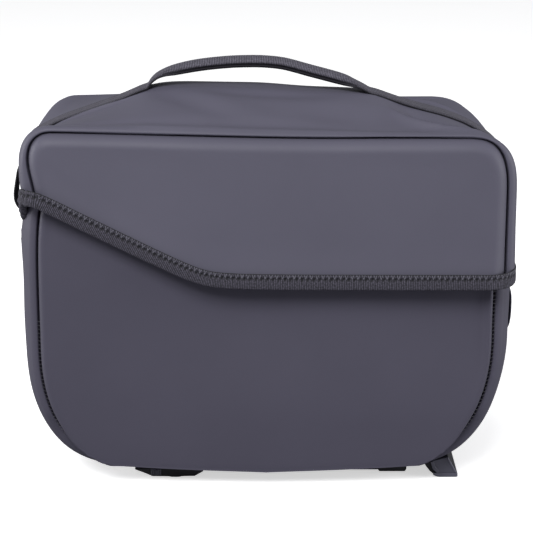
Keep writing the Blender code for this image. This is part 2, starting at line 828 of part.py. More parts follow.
def side_loops(black, grey):
    left_top = LEFT_LOOP_TOP - GAP
    loop(
        "side_loop_left", -1, lambda z: lid_half_width() - lid_tuck(z), left_top, LEFT_LOOP_LENGTH,
        WEBBING_WIDTH, LEFT_LOOP_BULGE, 0.0, black,
    )
    loop(
        "side_loop_right", 1, body_side, RIGHT_LOOP_TOP, RIGHT_LOOP_LENGTH,
        RIGHT_LOOP_WIDTH, RIGHT_LOOP_BULGE, RIGHT_LOOP_PLACE, grey,
    )


# Rack adapter


def extruded(name, outline, front, back, finish, bevel):
    """A prism from an outline in the XZ plane, between two depths, with its edges eased."""
    rings = [[Vector((x, y, z)) for x, z in outline] for y in (front, back)]
    obj = swept(name, rings, finish, 30)
    eased = obj.modifiers.new("Eased edges", "BEVEL")
    eased.width = bevel
    eased.segments = 1
    eased.limit_method = "ANGLE"
    return obj


def adapter_plate(finish):
    low, high = SLAB_THICKNESS + GAP, SLAB_THICKNESS + GAP + PLATE_THICKNESS
    outline = [(-PLATE_LEFT, low), (PLATE_RIGHT, low), (PLATE_RIGHT, high), (-PLATE_LEFT, high)]
    return extruded("adapter_plate", outline, -PLATE_HALF_DEPTH, PLATE_HALF_DEPTH, finish, PLATE_THICKNESS / 5)


def latch_housing(finish):
    """A saddle round the plate: a slab under it, turned up in front of it and behind it, with slanting ends."""
    top = SLAB_THICKNESS + GAP + PLATE_THICKNESS
    inner = PLATE_HALF_DEPTH + GAP
    section = [
        (-ADAPTER_HALF_DEPTH, top),
        (-ADAPTER_HALF_DEPTH, 0),
        (ADAPTER_HALF_DEPTH, 0),
        (ADAPTER_HALF_DEPTH, top),
        (inner, top),
        (inner, SLAB_THICKNESS),
        (-inner, SLAB_THICKNESS),
        (-inner, top),
    ]
    rings = []
    for x, slant in ((-LATCH_LEFT, LATCH_LEFT_SLANT), (-LATCH_RIGHT, -LATCH_RIGHT_SLANT)):
        rings.append([Vector((x + slant * (1 - z / top), y, z)) for y, z in section])
    return swept("latch_housing", rings, finish, 30)


def strap_keeper(finish):
    low = SLAB_THICKNESS + GAP + PLATE_THICKNESS - KEEPER_HEIGHT
    ends = KEEPER_HEIGHT / 2
    outline = [
        (KEEPER_LEFT, low + ends),
        (KEEPER_LEFT + ends / 2, low),
        (KEEPER_RIGHT - ends / 2, low),
        (KEEPER_RIGHT, low + ends),
        (KEEPER_RIGHT, low + KEEPER_HEIGHT),
        (KEEPER_LEFT, low + KEEPER_HEIGHT),
    ]
    front = -(PLATE_HALF_DEPTH + GAP + KEEPER_DEPTH)
    return extruded("strap_keeper", outline, front, -(PLATE_HALF_DEPTH + GAP), finish, KEEPER_HEIGHT / 8)


def under_base(start, end):
    """Points just under the tub's base between two places across, each with the gap that a piece under it keeps."""
    line = body_outline()
    found = []
    for a, b in zip(line, line[1:]):
        for x in (start, end):
            if a.x <= x < b.x:
                found.append((x, blend(a.y, b.y, (x - a.x) / (b.x - a.x)) - GAP))
        if start < b.x < end and b.y < body_corner_start(RIGHT):
            found.append((b.x, b.y - GAP))
    return sorted(found)


def rear_foot(finish):
    """A leaning leg beside the plate, rounded at its foot, with a thin lip along its toe."""
    left = PLATE_RIGHT + GAP
    heel, toe = left + FOOT_LEAN, left + FOOT_LENGTH
    head = under_base(left, left + FOOT_LEG)
    arc = []
    for i in range(5):
        angle = i / 4 * math.pi / 2
        arc.append((heel - FOOT_ROUNDING * (math.cos(angle) - FOOT_HEEL), FOOT_ROUNDING * (1 - math.sin(angle))))
    outline = [head[0]] + arc + [(toe, 0), (toe, FOOT_LIP), (toe - FOOT_LIP / 3, FOOT_LIP)] + head[:0:-1]
    return extruded("rear_foot", outline, -ADAPTER_HALF_DEPTH, ADAPTER_HALF_DEPTH, finish, FOOT_LIP / 10)


def build():
    clear_scene()
    fabric = material("coated fabric", (0.098, 0.095, 0.130), 0.55)
    tape = material("ribbed tape", (0.040, 0.038, 0.052), 0.80)
    webbing = material("webbing", (0.050, 0.048, 0.066), 0.80)
    black = material("black webbing", (0.010, 0.010, 0.014), 0.80)
    plastic = material("dark plastic", (0.016, 0.016, 0.024), 0.50)
    grey = material("grey plastic", (0.050, 0.050, 0.070), 0.45)
    front_panel(fabric)
    back_panel(fabric)
    body_gusset(fabric)
    lid_front(fabric)
    lid_band(fabric)
    hem_binding(tape)
    handle_webbing(webbing)
    side_loops(black, fabric)
    adapter_plate(plastic)
    latch_housing(plastic)
    strap_keeper(plastic)
    rear_foot(grey)


build()
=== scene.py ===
"""Looks of a bicycle trunk bag: a tub and a box lid of coated fabric, ribbed tape on the slanting hem,
a webbing handle and a rack adapter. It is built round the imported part, in metres, +Z up, front towards -Y.
"""

import math
from collections import namedtuple

import bpy
import numpy as np
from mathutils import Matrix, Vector


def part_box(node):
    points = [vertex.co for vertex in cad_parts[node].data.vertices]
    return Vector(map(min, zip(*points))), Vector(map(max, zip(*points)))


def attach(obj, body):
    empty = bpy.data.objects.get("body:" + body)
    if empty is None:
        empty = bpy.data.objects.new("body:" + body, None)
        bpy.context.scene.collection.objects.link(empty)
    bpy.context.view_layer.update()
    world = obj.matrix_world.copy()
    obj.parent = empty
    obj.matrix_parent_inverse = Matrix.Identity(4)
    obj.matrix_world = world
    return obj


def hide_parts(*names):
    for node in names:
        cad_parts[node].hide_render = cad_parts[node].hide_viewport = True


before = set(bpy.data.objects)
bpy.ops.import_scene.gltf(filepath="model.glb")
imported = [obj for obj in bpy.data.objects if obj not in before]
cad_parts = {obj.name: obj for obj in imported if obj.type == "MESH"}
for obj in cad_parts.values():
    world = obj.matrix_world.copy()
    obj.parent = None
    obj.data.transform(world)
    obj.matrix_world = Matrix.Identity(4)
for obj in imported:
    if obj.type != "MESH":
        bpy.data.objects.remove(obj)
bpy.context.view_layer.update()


# Rack adapter. A moulded plate is screwed to the base of the bag and clicks on to a rear rack.
# Its dark latch housing reaches under the left of the base, with a grey slide in its front, and a grey
# hook foot stands on the right. All are glass-filled nylon with a fine spark-eroded texture.

HOUSING_EDGE = 0.00035
HOUSING_FLOOR = 0.0016
HOUSING_FLOOR_TOP = 0.0022
HOUSING_FLOOR_BELOW = 0.0020
HOUSING_THIN_FLOOR = 0.0002
HOUSING_PLAY = 0.0003
SLIDE_PLACE = (-0.0882, -0.0802)
SLIDE_RIBS = 5
SLIDE_STAND = 0.0011
SLIDE_GROOVE = 0.35
SLIDE_HEIGHTS = (0.0012, 0.0002)
SLIDE_ROUNDING = 0.0006
SLIDE_SET_IN = 0.001

# Places across the housing and the height of its underside, seen from the front
HousingRow = namedtuple("HousingRow", "across underside")
HOUSING = [
    HousingRow(-0.1002, 0.0062),
    HousingRow(-0.0925, 0.0031),
    HousingRow(-0.0868, 0.0006),
    HousingRow(-0.0745, 0.0005),
    HousingRow(-0.0722, 0.0000),
    HousingRow(-0.0672, 0.0000),
    HousingRow(-0.0640, 0.0006),
    HousingRow(-0.0548, 0.0008),
    HousingRow(-0.0482, 0.0046),
]


def new_object(name, points, faces, inside, smooth_angle=35):
    """A mesh whose faces are turned away from a point inside it."""
    mesh = bpy.data.meshes.new(name)
    mesh.from_pydata(np.asarray(points, float).tolist(), [], [tuple(face) for face in faces])
    mesh.validate()
    outward = sum((f.center - Vector(inside)).normalized().dot(f.normal) * f.area for f in mesh.polygons)
    if outward < 0:
        mesh.flip_normals()
    mesh.shade_smooth()
    mesh.set_sharp_from_angle(angle=math.radians(smooth_angle))
    obj = bpy.data.objects.new(name, mesh)
    bpy.context.scene.collection.objects.link(obj)
    return obj


def ring_faces(rings, size, closed_ends=True):
    faces = []
    for i in range(rings - 1):
        for j in range(size):
            a, b = i * size + j, i * size + (j + 1) % size
            faces.append((a, b, b + size, a + size))
    if closed_ends:
        faces.append(tuple(reversed(range(size))))
        faces.append(tuple(range((rings - 1) * size, rings * size)))
    return faces


def fit(obj, finish, slot, *nodes):
    """Gives a piece its finish and fixes it to the bag, in place of the part's own plain solids."""
    obj.data.materials.clear()
    obj.data.materials.append(finish)
    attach(obj, "root")
    if nodes:
        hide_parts(*nodes)
    return obj


def eased_edges(obj, width, segments=3):
    bevel = obj.modifiers.new("Eased edges", "BEVEL")
    bevel.width = width
    bevel.segments = segments
    bevel.limit_method = "ANGLE"
    bevel.angle_limit = math.radians(28)
    bevel.harden_normals = True
    return obj


def new_group(name, inputs, outputs):
    """A shader node group with named sockets, and its two ends."""
    group = bpy.data.node_groups.new(name, "ShaderNodeTree")
    for label, kind, value in inputs:
        socket = group.interface.new_socket(label, in_out="INPUT", socket_type=kind)
        socket.default_value = value
    for label, kind in outputs:
        group.interface.new_socket(label, in_out="OUTPUT", socket_type=kind)
    ends = group.nodes.new("NodeGroupInput"), group.nodes.new("NodeGroupOutput")
    return group, group.nodes, group.links, *ends


def math_node(nodes, links, operation, first, second=None, third=None):
    node = nodes.new("ShaderNodeMath")
    node.operation = operation
    for place, value in enumerate((first, second, third)):
        if value is None:
            continue
        if isinstance(value, (int, float)):
            node.inputs[place].default_value = value
        else:
            links.new(value, node.inputs[place])
    return node.outputs[0]


def noise_node(nodes, links, vector, scale, detail=2.0, roughness=0.5):
    node = nodes.new("ShaderNodeTexNoise")
    node.inputs["Detail"].default_value = detail
    node.inputs["Roughness"].default_value = roughness
    links.new(vector, node.inputs["Vector"])
    if isinstance(scale, (int, float)):
        node.inputs["Scale"].default_value = scale
    else:
        links.new(scale, node.inputs["Scale"])
    return node.outputs["Fac"]


def surface_grain_group():
    """Pebbled skin of a moulded or coated surface: a height for bumps, and a slow drift in tone."""
    inputs = [
        ("Grain per metre", "NodeSocketFloat", 2600.0),
        ("Pebble per metre", "NodeSocketFloat", 900.0),
        ("Drift per metre", "NodeSocketFloat", 14.0),
    ]
    outputs = [("Height", "NodeSocketFloat"), ("Tone", "NodeSocketFloat")]
    group, nodes, links, start, end = new_group("surface grain", inputs, outputs)
    place = nodes.new("ShaderNodeNewGeometry").outputs["Position"]
    fine = noise_node(nodes, links, place, start.outputs["Grain per metre"], 2.0)
    pebble = nodes.new("ShaderNodeTexVoronoi")
    pebble.feature = "SMOOTH_F1"
    links.new(place, pebble.inputs["Vector"])
    links.new(start.outputs["Pebble per metre"], pebble.inputs["Scale"])
    height = math_node(nodes, links, "MULTIPLY_ADD", pebble.outputs["Distance"], 0.6, fine)
    links.new(height, end.inputs["Height"])
    drift = noise_node(nodes, links, place, start.outputs["Drift per metre"], 4.0, 0.55)
    tone = math_node(nodes, links, "MULTIPLY_ADD", fine, 0.25, drift)
    links.new(math_node(nodes, links, "SUBTRACT", tone, 0.125), end.inputs["Tone"])
    return group


GRAIN = surface_grain_group()


def placed_group(nodes, group, **values):
    node = nodes.new("ShaderNodeGroup")
    node.node_tree = group
    for label, value in values.items():
        node.inputs[label.replace("_", " ")].default_value = value
    return node


def two_tone(nodes, links, factor, low, high):
    mix = nodes.new("ShaderNodeMix")
    mix.data_type = "RGBA"
    mix.inputs["A"].default_value = (*low, 1)
    mix.inputs["B"].default_value = (*high, 1)
    links.new(factor, mix.inputs["Factor"])
    return mix.outputs["Result"]


def ranged(nodes, links, value, low, high, to_low, to_high):
    node = nodes.new("ShaderNodeMapRange")
    links.new(value, node.inputs["Value"])
    for label, number in zip(("From Min", "From Max", "To Min", "To Max"), (low, high, to_low, to_high)):
        node.inputs[label].default_value = number
    return node.outputs["Result"]


def bumped(nodes, links, shader, height, distance, strength=1.0):
    bump = nodes.new("ShaderNodeBump")
    bump.inputs["Distance"].default_value = distance
    bump.inputs["Strength"].default_value = strength
    links.new(height, bump.inputs["Height"])
    links.new(bump.outputs["Normal"], shader.inputs["Normal"])


def new_finish(name):
    """A material with its node tree's parts and its shader."""
    found = bpy.data.materials.new(name)
    found.use_nodes = True
    nodes, links = found.node_tree.nodes, found.node_tree.links
    return found, nodes, links, nodes["Principled BSDF"]


def moulded_plastic(name, dark, light, roughness):
    """Nylon with a spark-eroded texture: matt, a little polished where it rubs."""
    found, nodes, links, shader = new_finish(name)
    grain = placed_group(nodes, GRAIN, Grain_per_metre=3400.0, Pebble_per_metre=1700.0, Drift_per_metre=55.0)
    links.new(two_tone(nodes, links, grain.outputs["Tone"], dark, light), shader.inputs["Base Color"])
    rubbed = ranged(nodes, links, grain.outputs["Tone"], 0.3, 0.7, roughness + 0.1, roughness - 0.08)
    links.new(rubbed, shader.inputs["Roughness"])
    bumped(nodes, links, shader, grain.outputs["Height"], 0.00012, 0.6)
    return found


DARK_NYLON = moulded_plastic("dark nylon", (0.004, 0.004, 0.007), (0.009, 0.009, 0.014), 0.52)
GREY_NYLON = moulded_plastic("grey nylon", (0.078, 0.077, 0.104), (0.106, 0.104, 0.140), 0.46)

housing_low, housing_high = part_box("latch_housing")
plate_low, plate_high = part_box("adapter_plate")


def latch_shell():
    """A saddle round the plate, turned up in front of it and behind it."""
    wall = plate_high.y + HOUSING_PLAY
    rings = []
    for across, underside in HOUSING:
        floor = underside + HOUSING_THIN_FLOOR
        if underside < HOUSING_FLOOR_BELOW:
            floor = min(underside + HOUSING_FLOOR, HOUSING_FLOOR_TOP)
        section = [
            (housing_low.y, housing_high.z),
            (housing_low.y, underside),
            (housing_high.y, underside),
            (housing_high.y, housing_high.z),
            (wall, housing_high.z),
            (wall, floor),
            (-wall, floor),
            (-wall, housing_high.z),
        ]
        rings.append([(across, y, z) for y, z in section])
    points = np.array(rings).reshape(-1, 3)
    middle = (-0.072, 0.0, 0.0012)
    obj = new_object("latch_shell", points, ring_faces(len(rings), 8), middle, 30)
    return eased_edges(obj, HOUSING_EDGE, 2)


def latch_slide():
    """The grey slide in the housing's front, with grip ribs."""
    left, right = SLIDE_PLACE
    steps = SLIDE_RIBS * 8
    rows = []
    for i in range(steps + 1):
        share = i / steps
        rib = abs(math.sin(math.pi * SLIDE_RIBS * share)) ** 0.6
        front = housing_low.y - SLIDE_STAND * (SLIDE_GROOVE + (1 - SLIDE_GROOVE) * rib)
        x = left + (right - left) * share
        low, high = SLIDE_HEIGHTS[0], housing_high.z - SLIDE_HEIGHTS[1]
        soft = SLIDE_ROUNDING
        ring = [(front + soft, low), (front, low + soft), (front, high - soft), (front + soft, high)]
        ring += [(housing_low.y + SLIDE_SET_IN, high), (housing_low.y + SLIDE_SET_IN, low)]
        rows.append([(x, y, z) for y, z in ring])
    points = np.array(rows).reshape(-1, 3)
    middle = ((left + right) / 2, housing_low.y, housing_high.z / 2)
    return new_object("latch_slide", points, ring_faces(len(rows), 6), middle, 50)


# The foot's outline seen from the front, as shares of its box across and up: heel, sole, toe and leaning leg
FootPoint = namedtuple("FootPoint", "across up")
FOOT_OUTLINE = [
    FootPoint(0.000, 0.71),
    FootPoint(0.070, 0.49),
    FootPoint(0.180, 0.25),
    FootPoint(0.280, 0.10),
    FootPoint(0.380, 0.02),
    FootPoint(0.470, 0.00),
    FootPoint(0.965, 0.00),
    FootPoint(1.000, 0.03),
    FootPoint(1.000, 0.19),
    FootPoint(0.970, 0.22),
    FootPoint(0.717, 1.00),
]
FOOT_LEG = [
    FootPoint(0.190, 0.78),
    FootPoint(0.255, 0.42),
    FootPoint(0.400, 0.19),
    FootPoint(0.500, 0.00),
    FootPoint(0.965, 0.00),
    FootPoint(1.000, 0.03),
    FootPoint(1.000, 0.19),
    FootPoint(0.970, 0.22),
    FootPoint(0.717, 1.00),
]
FOOT_PANEL = [
    FootPoint(0.285, 0.82),
    FootPoint(0.350, 0.50),
    FootPoint(0.470, 0.25),
    FootPoint(0.905, 0.25),
    FootPoint(0.690, 0.93),
]
FOOT_STEP = 0.0030
FOOT_RECESS = 0.0014
FOOT_EDGE = 0.0003
SOLE_TOP = 0.19
SOLE_HEEL = 0.275


def hook_foot(name, core):
    """The hook foot: its full core, in dark nylon as painted shade for the grey foot's shaded side and
    middle, or the grey legs at its ends with a rim and a sunk panel each.
    """
    low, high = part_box("rear_foot")
    points, faces = [], []
    def placed(outline, y):
        return [(low.x + (high.x - low.x) * p.across, y, low.z + (high.z - low.z) * p.up) for p in outline]
    def prism(outline, near, far):
        first, size = len(points), len(outline)
        points.extend(placed(outline, near) + placed(outline, far))
        faces.extend(tuple(first + corner for corner in face) for face in ring_faces(2, size))
    if core:
        prism(FOOT_OUTLINE, low.y + FOOT_STEP, high.y - FOOT_STEP)
    sole = [FootPoint(p.across, min(p.up, SOLE_TOP)) for p in FOOT_OUTLINE[3:9]]
    sole.append(FootPoint(SOLE_HEEL, SOLE_TOP))
    heel_rim = FOOT_LEG[:3] + FOOT_PANEL[2::-1]
    toe_rim = [FOOT_PANEL[3], FOOT_LEG[7], FOOT_LEG[8], FOOT_PANEL[4]]
    ends = () if core else ((low.y, low.y + FOOT_STEP), (high.y, high.y - FOOT_STEP))
    for end, inner in ends:
        step = FOOT_RECESS if inner > end else -FOOT_RECESS
        near, far = sorted((end + step, inner))
        prism(FOOT_LEG, near, far)
        near, far = sorted((end, end + step))
        for outline in (sole, heel_rim, toe_rim):
            prism(outline, near, far)
    middle = ((low.x + high.x) / 2, 0.0, high.z * 0.4)
    return eased_edges(new_object(name, points, faces, middle, 30), FOOT_EDGE, 2)


# How far the plate's corners are cut: across at its latch end and foot end, and back at each
PLATE_CUT_LATCH = (0.010, 0.028)
PLATE_CUT_FOOT = (0.022, 0.030)
PLATE_EDGE = 0.0004


def rack_plate():
    """The plate under the base. Its corners are cut, so that it shows only where the latch and foot are."""
    left, right, wide = plate_low.x, plate_high.x, plate_high.y
    half = [(left, 0.0), (left, wide - PLATE_CUT_LATCH[1]), (left + PLATE_CUT_LATCH[0], wide)]
    half += [(right - PLATE_CUT_FOOT[0], wide), (right, wide - PLATE_CUT_FOOT[1])]
    plan = half + [(x, -y) for x, y in reversed(half[1:])]
    points = [(x, y, z) for z in (plate_low.z, plate_high.z) for x, y in plan]
    middle = (0.0, 0.0, (plate_low.z + plate_high.z) / 2)
    obj = new_object("rack_plate", points, ring_faces(2, len(plan)), middle, 30)
    return eased_edges(obj, PLATE_EDGE, 2)


fit(latch_shell(), DARK_NYLON, "dark_plastic", "latch_housing")
fit(hook_foot("foot_legs", False), GREY_NYLON, "grey_plastic", "rear_foot")
# The core is dark nylon as painted shade: the foot is grey, and its core stands in for its shaded side and
# middle.
fit(hook_foot("foot_core_painted_shade", True), DARK_NYLON, "dark_plastic")
fit(rack_plate(), DARK_NYLON, "dark_plastic", "adapter_plate")
fit(latch_slide(), GREY_NYLON, "grey_plastic")
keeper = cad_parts["strap_keeper"]
keeper.data.materials.clear()
keeper.data.materials.append(DARK_NYLON)


# Tub. A front panel, a back panel and one long gusset of polyurethane-coated polyester, seamed face to face
# and turned, so that each panel stands out past its seam in a rolled edge. The seam is a narrow groove, which
# the thread crosses where the gusset is drawn round the base corners.

tub_low, tub_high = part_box("body_gusset")
TUB_HALF = tub_high.x
TUB_RIM = tub_high.z
TUB_FRONT = -tub_low.y
TUB_BACK = tub_high.y
TUB_BELLY = tub_low.z
WALL = 0.0015
TUB_WIDEST = 0.115
TUB_LEAN = 0.0115
TUB_LEAN_POWER = 5.0
BELLY_SAG = 0.0035
BASE_CORNER_REACH = 0.060
BASE_CORNER_RISE = 0.100
TUB_SEAM_INSET = 0.0130
BELLY_SEAM_INSET = 0.0036
SEAM_CENTRE = 0.115
BASE_TURN = 0.6
BASE_OVERHANG = 0.0026
BASE_OVERHANG_HEIGHTS = (0.056, 0.030)
CORNER_POCKET = 0.0050
PIPED_EDGE = 0.0010
PIPED_PLACE = 0.0027
PIPED_WIDTH = 0.0008
TUB_ROLL = 0.0078
TUB_CRISPNESS = 4.2
TUB_STAND = 0.0062
TUB_CROWN = 0.0022
TUB_TUCK = 0.0024
HEM_HOLLOW = 0.0060
HEM_HOLLOW_HEIGHTS = (0.050, 0.142)
HEM_HOLLOW_PLACES = (-0.130, -0.020)
BACK_CROWN = 0.0030
SEAM_DEPTH = 0.0060
SEAM_PITCH = 0.0030
SEAM_THREAD = 0.00030
SEAM_THREAD_TOP = {-1: 0.130, 1: 0.152}
SEAM_THREAD_END = 0.040
SEAM_THREAD_FROM = (0.0015, 0.0004)
SEAM_THREAD_TO = (-0.0011, -0.0010)
TUCK_FROM = 0.154
CROWN_REACH = 0.116
OVERHANG_PLACES = (0.0032, 0.020)
CORNERS_BELOW = 0.040
EDGE_TIGHT = 0.020

# Each side's own roundings and seams, as shares of the sizes above
Side = namedtuple(
    "Side",
    "sign tub_seam lid_seam top_reach top_drop top_power"
    " ridge_reach ridge_drop base_reach base_rise base_power",
)
LEFT = Side(-1, 1.14, 1.00, 0.71, 0.66, 2.30, 0.73, 0.73, 1.12, 0.96, 2.28)
RIGHT = Side(1, 1.19, 0.80, 1.30, 1.32, 2.95, 1.20, 1.33, 1.12, 1.02, 2.08)

# Gusset from inside its seam to the middle: depth and inset as shares of the seam's, how far back and how far
# out it lies besides, grid lines to the next row
GussetRow = namedtuple("GussetRow", "depth inset back out lines")
GUSSET_ROWS = [
    GussetRow(1.000, 1.000, 0.0062, 0.00005, 2),
    GussetRow(1.000, 1.000, 0.0036, 0.00060, 2),
    GussetRow(1.000, 1.000, 0.0015, 0.00095, 2),
    GussetRow(1.000, 1.000, 0.0004, 0.00145, 2),
    GussetRow(1.000, 0.960, 0.0001, 0.00160, 2),
    GussetRow(0.997, 0.860, 0.0000, 0.00120, 2),
    GussetRow(0.990, 0.740, 0.0000, 0.00070, 2),
    GussetRow(0.977, 0.610, 0.0000, 0.00030, 3),
    GussetRow(0.958, 0.500, 0.0000, 0.00000, 3),
    GussetRow(0.905, 0.310, 0.0000, 0.00000, 3),
    GussetRow(0.800, 0.150, 0.0000, 0.00000, 4),
    GussetRow(0.600, 0.050, 0.0000, 0.00000, 6),
    GussetRow(0.300, 0.000, 0.0000, 0.00000, 6),
    GussetRow(0.000, 0.000, 0.0000, 0.00000, 1),
]

# Slow waves in slack fabric: their length and height, and the seed that keeps them the same
Slack = namedtuple("Slack", "size height seed")
GUSSET_SLACK = Slack(0.075, 0.0005, 4)
GUSSET_TIGHT = 0.012
FRONT_SLACK = Slack(0.110, 0.00045, 11)

# Lasting folds in the fabric: its two ends and a point that it bends towards, height and half width.
# A height below nothing is a valley. Keen folds have a sharp crest.
Fold = namedtuple("Fold", "start bend end height width keen")


def eased(low, high, value):
    share = np.clip((np.asarray(value, float) - low) / (high - low), 0.0, 1.0)
    return share * share * (3 - 2 * share)


def curve_through(rows, at):
    """Values at places along rows of (place, value), on a smooth curve."""
    x, y = np.array(rows, float).T
    slope = np.empty(len(x))
    slope[1:-1] = (y[2:] - y[:-2]) / (x[2:] - x[:-2])
    slope[0], slope[-1] = (y[1] - y[0]) / (x[1] - x[0]), (y[-1] - y[-2]) / (x[-1] - x[-2])
    at = np.clip(np.asarray(at, float), x[0], x[-1])
    i = np.clip(np.searchsorted(x, at, side="right") - 1, 0, len(x) - 2)
    span = x[i + 1] - x[i]
    t = (at - x[i]) / span
    start = (2 * t**3 - 3 * t**2 + 1) * y[i] + (t**3 - 2 * t**2 + t) * span * slope[i]
    return start + (3 * t**2 - 2 * t**3) * y[i + 1] + (t**3 - t**2) * span * slope[i + 1]


def row_places(rows):
    """Places between the rows of a table, as many as each row's count of lines."""
    places = []
    for i, row in enumerate(rows[:-1]):
        places += [i + j / row.lines for j in range(row.lines)]
    return np.array(places + [len(rows) - 1.0])


def column(rows, name, at):
    return curve_through([(i, getattr(row, name)) for i, row in enumerate(rows)], at)


def lengths_along(line):
    steps = np.linalg.norm(np.diff(line, axis=0), axis=1)
    return np.concatenate([[0.0], np.cumsum(steps)])


def along(line, shares):
    """Points at shares of a line's length."""
    run = lengths_along(line)
    at = np.asarray(shares, float) * run[-1]
    return np.stack([np.interp(at, run, line[:, k]) for k in range(line.shape[1])], axis=-1)


def relaxed(line, passes):
    """The line with its kinks eased, its ends kept."""
    line = line.copy()
    for _ in range(passes):
        line[1:-1] = 0.25 * line[:-2] + 0.5 * line[1:-1] + 0.25 * line[2:]
    return line


def outward(line, inside):
    """Unit normals of a line in the XZ plane, away from an inner point."""
    run = np.gradient(line, axis=0)
    normal = np.stack([run[:, 1], -run[:, 0]], axis=1)
    normal /= np.linalg.norm(normal, axis=1, keepdims=True)
    away = np.sum(normal * (line - np.array(inside)), axis=1)
    return normal * np.where(away < 0, -1.0, 1.0)[:, None]


def quarter(reach, rise, power, count):
    """A quarter of a superellipse, from its side to its top."""
    angle = np.linspace(0, math.pi / 2, count)
    x = np.cos(angle).clip(0) ** (2 / power) * reach
    z = np.sin(angle).clip(0) ** (2 / power) * rise
    return np.stack([x, z], axis=1)


def tub_side(z):
    """Half width of the tub's straight side at a height: it leans in towards its rim."""
    above = np.clip((np.asarray(z, float) - TUB_WIDEST) / (TUB_RIM - TUB_WIDEST), 0, None)
    return TUB_HALF - TUB_LEAN * above**TUB_LEAN_POWER


def tub_outline(count=330):
    """The tub's outline at its full width: down the left side, along the base and up the right."""
    halves = []
    for side in (LEFT, RIGHT):
        rise = BASE_CORNER_RISE * side.base_rise
        reach = BASE_CORNER_REACH * side.base_reach
        start = TUB_BELLY + BELLY_SAG + rise
        z = np.linspace(TUB_RIM, start, 120, endpoint=False)
        straight = np.stack([tub_side(z), z], axis=1)
        corner = quarter(reach, rise, side.base_power, 200)
        corner = np.stack([tub_side(start) - reach + corner[:, 0], start - corner[:, 1]], axis=1)
        halves.append(np.concatenate([straight, corner]) * (side.sign, 1))
    share = np.linspace(0, 1, 160)[1:-1, None]
    belly = halves[0][-1] * (1 - share) + halves[1][-1] * share
    belly[:, 1] -= BELLY_SAG * (1 - (2 * share[:, 0] - 1) ** 2)
    line = np.concatenate([halves[0], belly, halves[1][::-1]])
    return relaxed(along(line, np.linspace(0, 1, count)), 4)


def tub_seam_line(share, line):
    """The tub's outline drawn in towards its seam."""
    normal = outward(line, (0, TUB_BELLY + SEAM_CENTRE))
    side = np.where(line[:, 0] < 0, LEFT.tub_seam, RIGHT.tub_seam)
    across = TUB_SEAM_INSET * side
    upright = np.abs(normal[:, 0]) ** BASE_TURN
    down = BELLY_SEAM_INSET + (across - BELLY_SEAM_INSET) * upright
    return line - share * np.stack([across * normal[:, 0], down * normal[:, 1]], axis=1)


def grid_normals(grid):
    """Normals of a grid of points, all to one side of it."""
    down = np.gradient(grid, axis=0)
    over = np.gradient(grid, axis=1)
    normal = np.cross(over, down)
    return normal / (np.linalg.norm(normal, axis=2, keepdims=True) + 1e-12)


def fold_height(grid, folds):
    """How far the folds raise each point of a grid. Each fold's line is brought on to the grid first."""
    total = np.zeros(grid.shape[:2])
    flat = grid.reshape(-1, 3)
    share = np.linspace(0, 1, 26)
    ends = np.sin(math.pi * np.clip(share, 0.02, 0.98)) ** 0.6
    for fold in folds:
        start, bend, end = (np.array(p, float) for p in (fold.start, fold.bend, fold.end))
        s = share[:, None]
        line = start * (1 - s) ** 2 + bend * 2 * s * (1 - s) + end * s**2
        for k, point in enumerate(line):
            line[k, 2] = flat[np.argmin(((flat - point) ** 2 @ (1, 1, 0.2))), 2]
        line = relaxed(line, 2)
        best = np.full(grid.shape[:2], np.inf)
        lift = np.zeros(grid.shape[:2])
        for a, b, low, high in zip(line, line[1:], ends, ends[1:]):
            run = b - a
            t = np.clip(((grid - a) @ run) / (run @ run), 0, 1)
            far = np.linalg.norm(grid - (a + t[..., None] * run), axis=2)
            nearer = far < best
            best = np.where(nearer, far, best)
            lift = np.where(nearer, low + (high - low) * t, lift)
        power = 1.25 if fold.keen else 2.0
        total += fold.height * lift * np.exp(-((best / fold.width) ** power))
    return total


def slack(grid, size, height, seed):
    """A few slow waves, the same each time, for fabric that nothing draws tight."""
    found = np.zeros(grid.shape[:2])
    rng = np.random.default_rng(seed)
    for _ in range(7):
        direction = rng.normal(size=3)
        direction /= np.linalg.norm(direction)
        length = size * rng.uniform(0.6, 1.7)
        found += np.sin(grid @ direction * 2 * math.pi / length + rng.uniform(0, 6.28))
    return found * height / 7 * 1.8


def grid_object(name, grid, inside, smooth_angle):
    """A single skin from a grid of points."""
    rows, wide = grid.shape[:2]
    index = np.arange(rows * wide).reshape(rows, wide)
    corners = [index[:-1, :-1], index[:-1, 1:], index[1:, 1:], index[1:, :-1]]
    faces = np.stack(corners, axis=-1).reshape(-1, 4)
    return new_object(name, grid.reshape(-1, 3), faces.tolist(), inside, smooth_angle)


def fabric_sheet(name, grid, inside):
    """A sheet of coated fabric from a grid of its outer points, thickened inwards."""
    obj = grid_object(name, grid, inside, 75)
    thick = obj.modifiers.new("Fabric", "SOLIDIFY")
    thick.thickness = WALL
    thick.offset = -1.0
    return obj


def coated_fabric(name, deep, pale, roughness=0.60):
    """Polyurethane-coated cloth: a rubbery matt skin with a fine pebble."""
    found, nodes, links, shader = new_finish(name)
    grain = placed_group(nodes, GRAIN, Grain_per_metre=2200.0, Pebble_per_metre=1150.0, Drift_per_metre=9.0)
    links.new(two_tone(nodes, links, grain.outputs["Tone"], deep, pale), shader.inputs["Base Color"])
    worn = ranged(nodes, links, grain.outputs["Tone"], 0.3, 0.7, roughness + 0.05, roughness - 0.05)
    links.new(worn, shader.inputs["Roughness"])
    shader.inputs["Specular IOR Level"].default_value = 0.30
    bumped(nodes, links, shader, grain.outputs["Height"], 0.00010, 0.45)
    return found


# Painted shade: the tub's copy of the bag's one coated fabric is painted darker than the lid's copy, in place
# of the weaker light on the tub.
TUB_CLOTH_PAINTED_SHADE = coated_fabric("tub coated fabric painted shade", (0.0525, 0.0495, 0.072), (0.069, 0.065, 0.093))

tub_edge = tub_outline()
TUB_MIDDLE = (0.0, 0.0, 0.12)

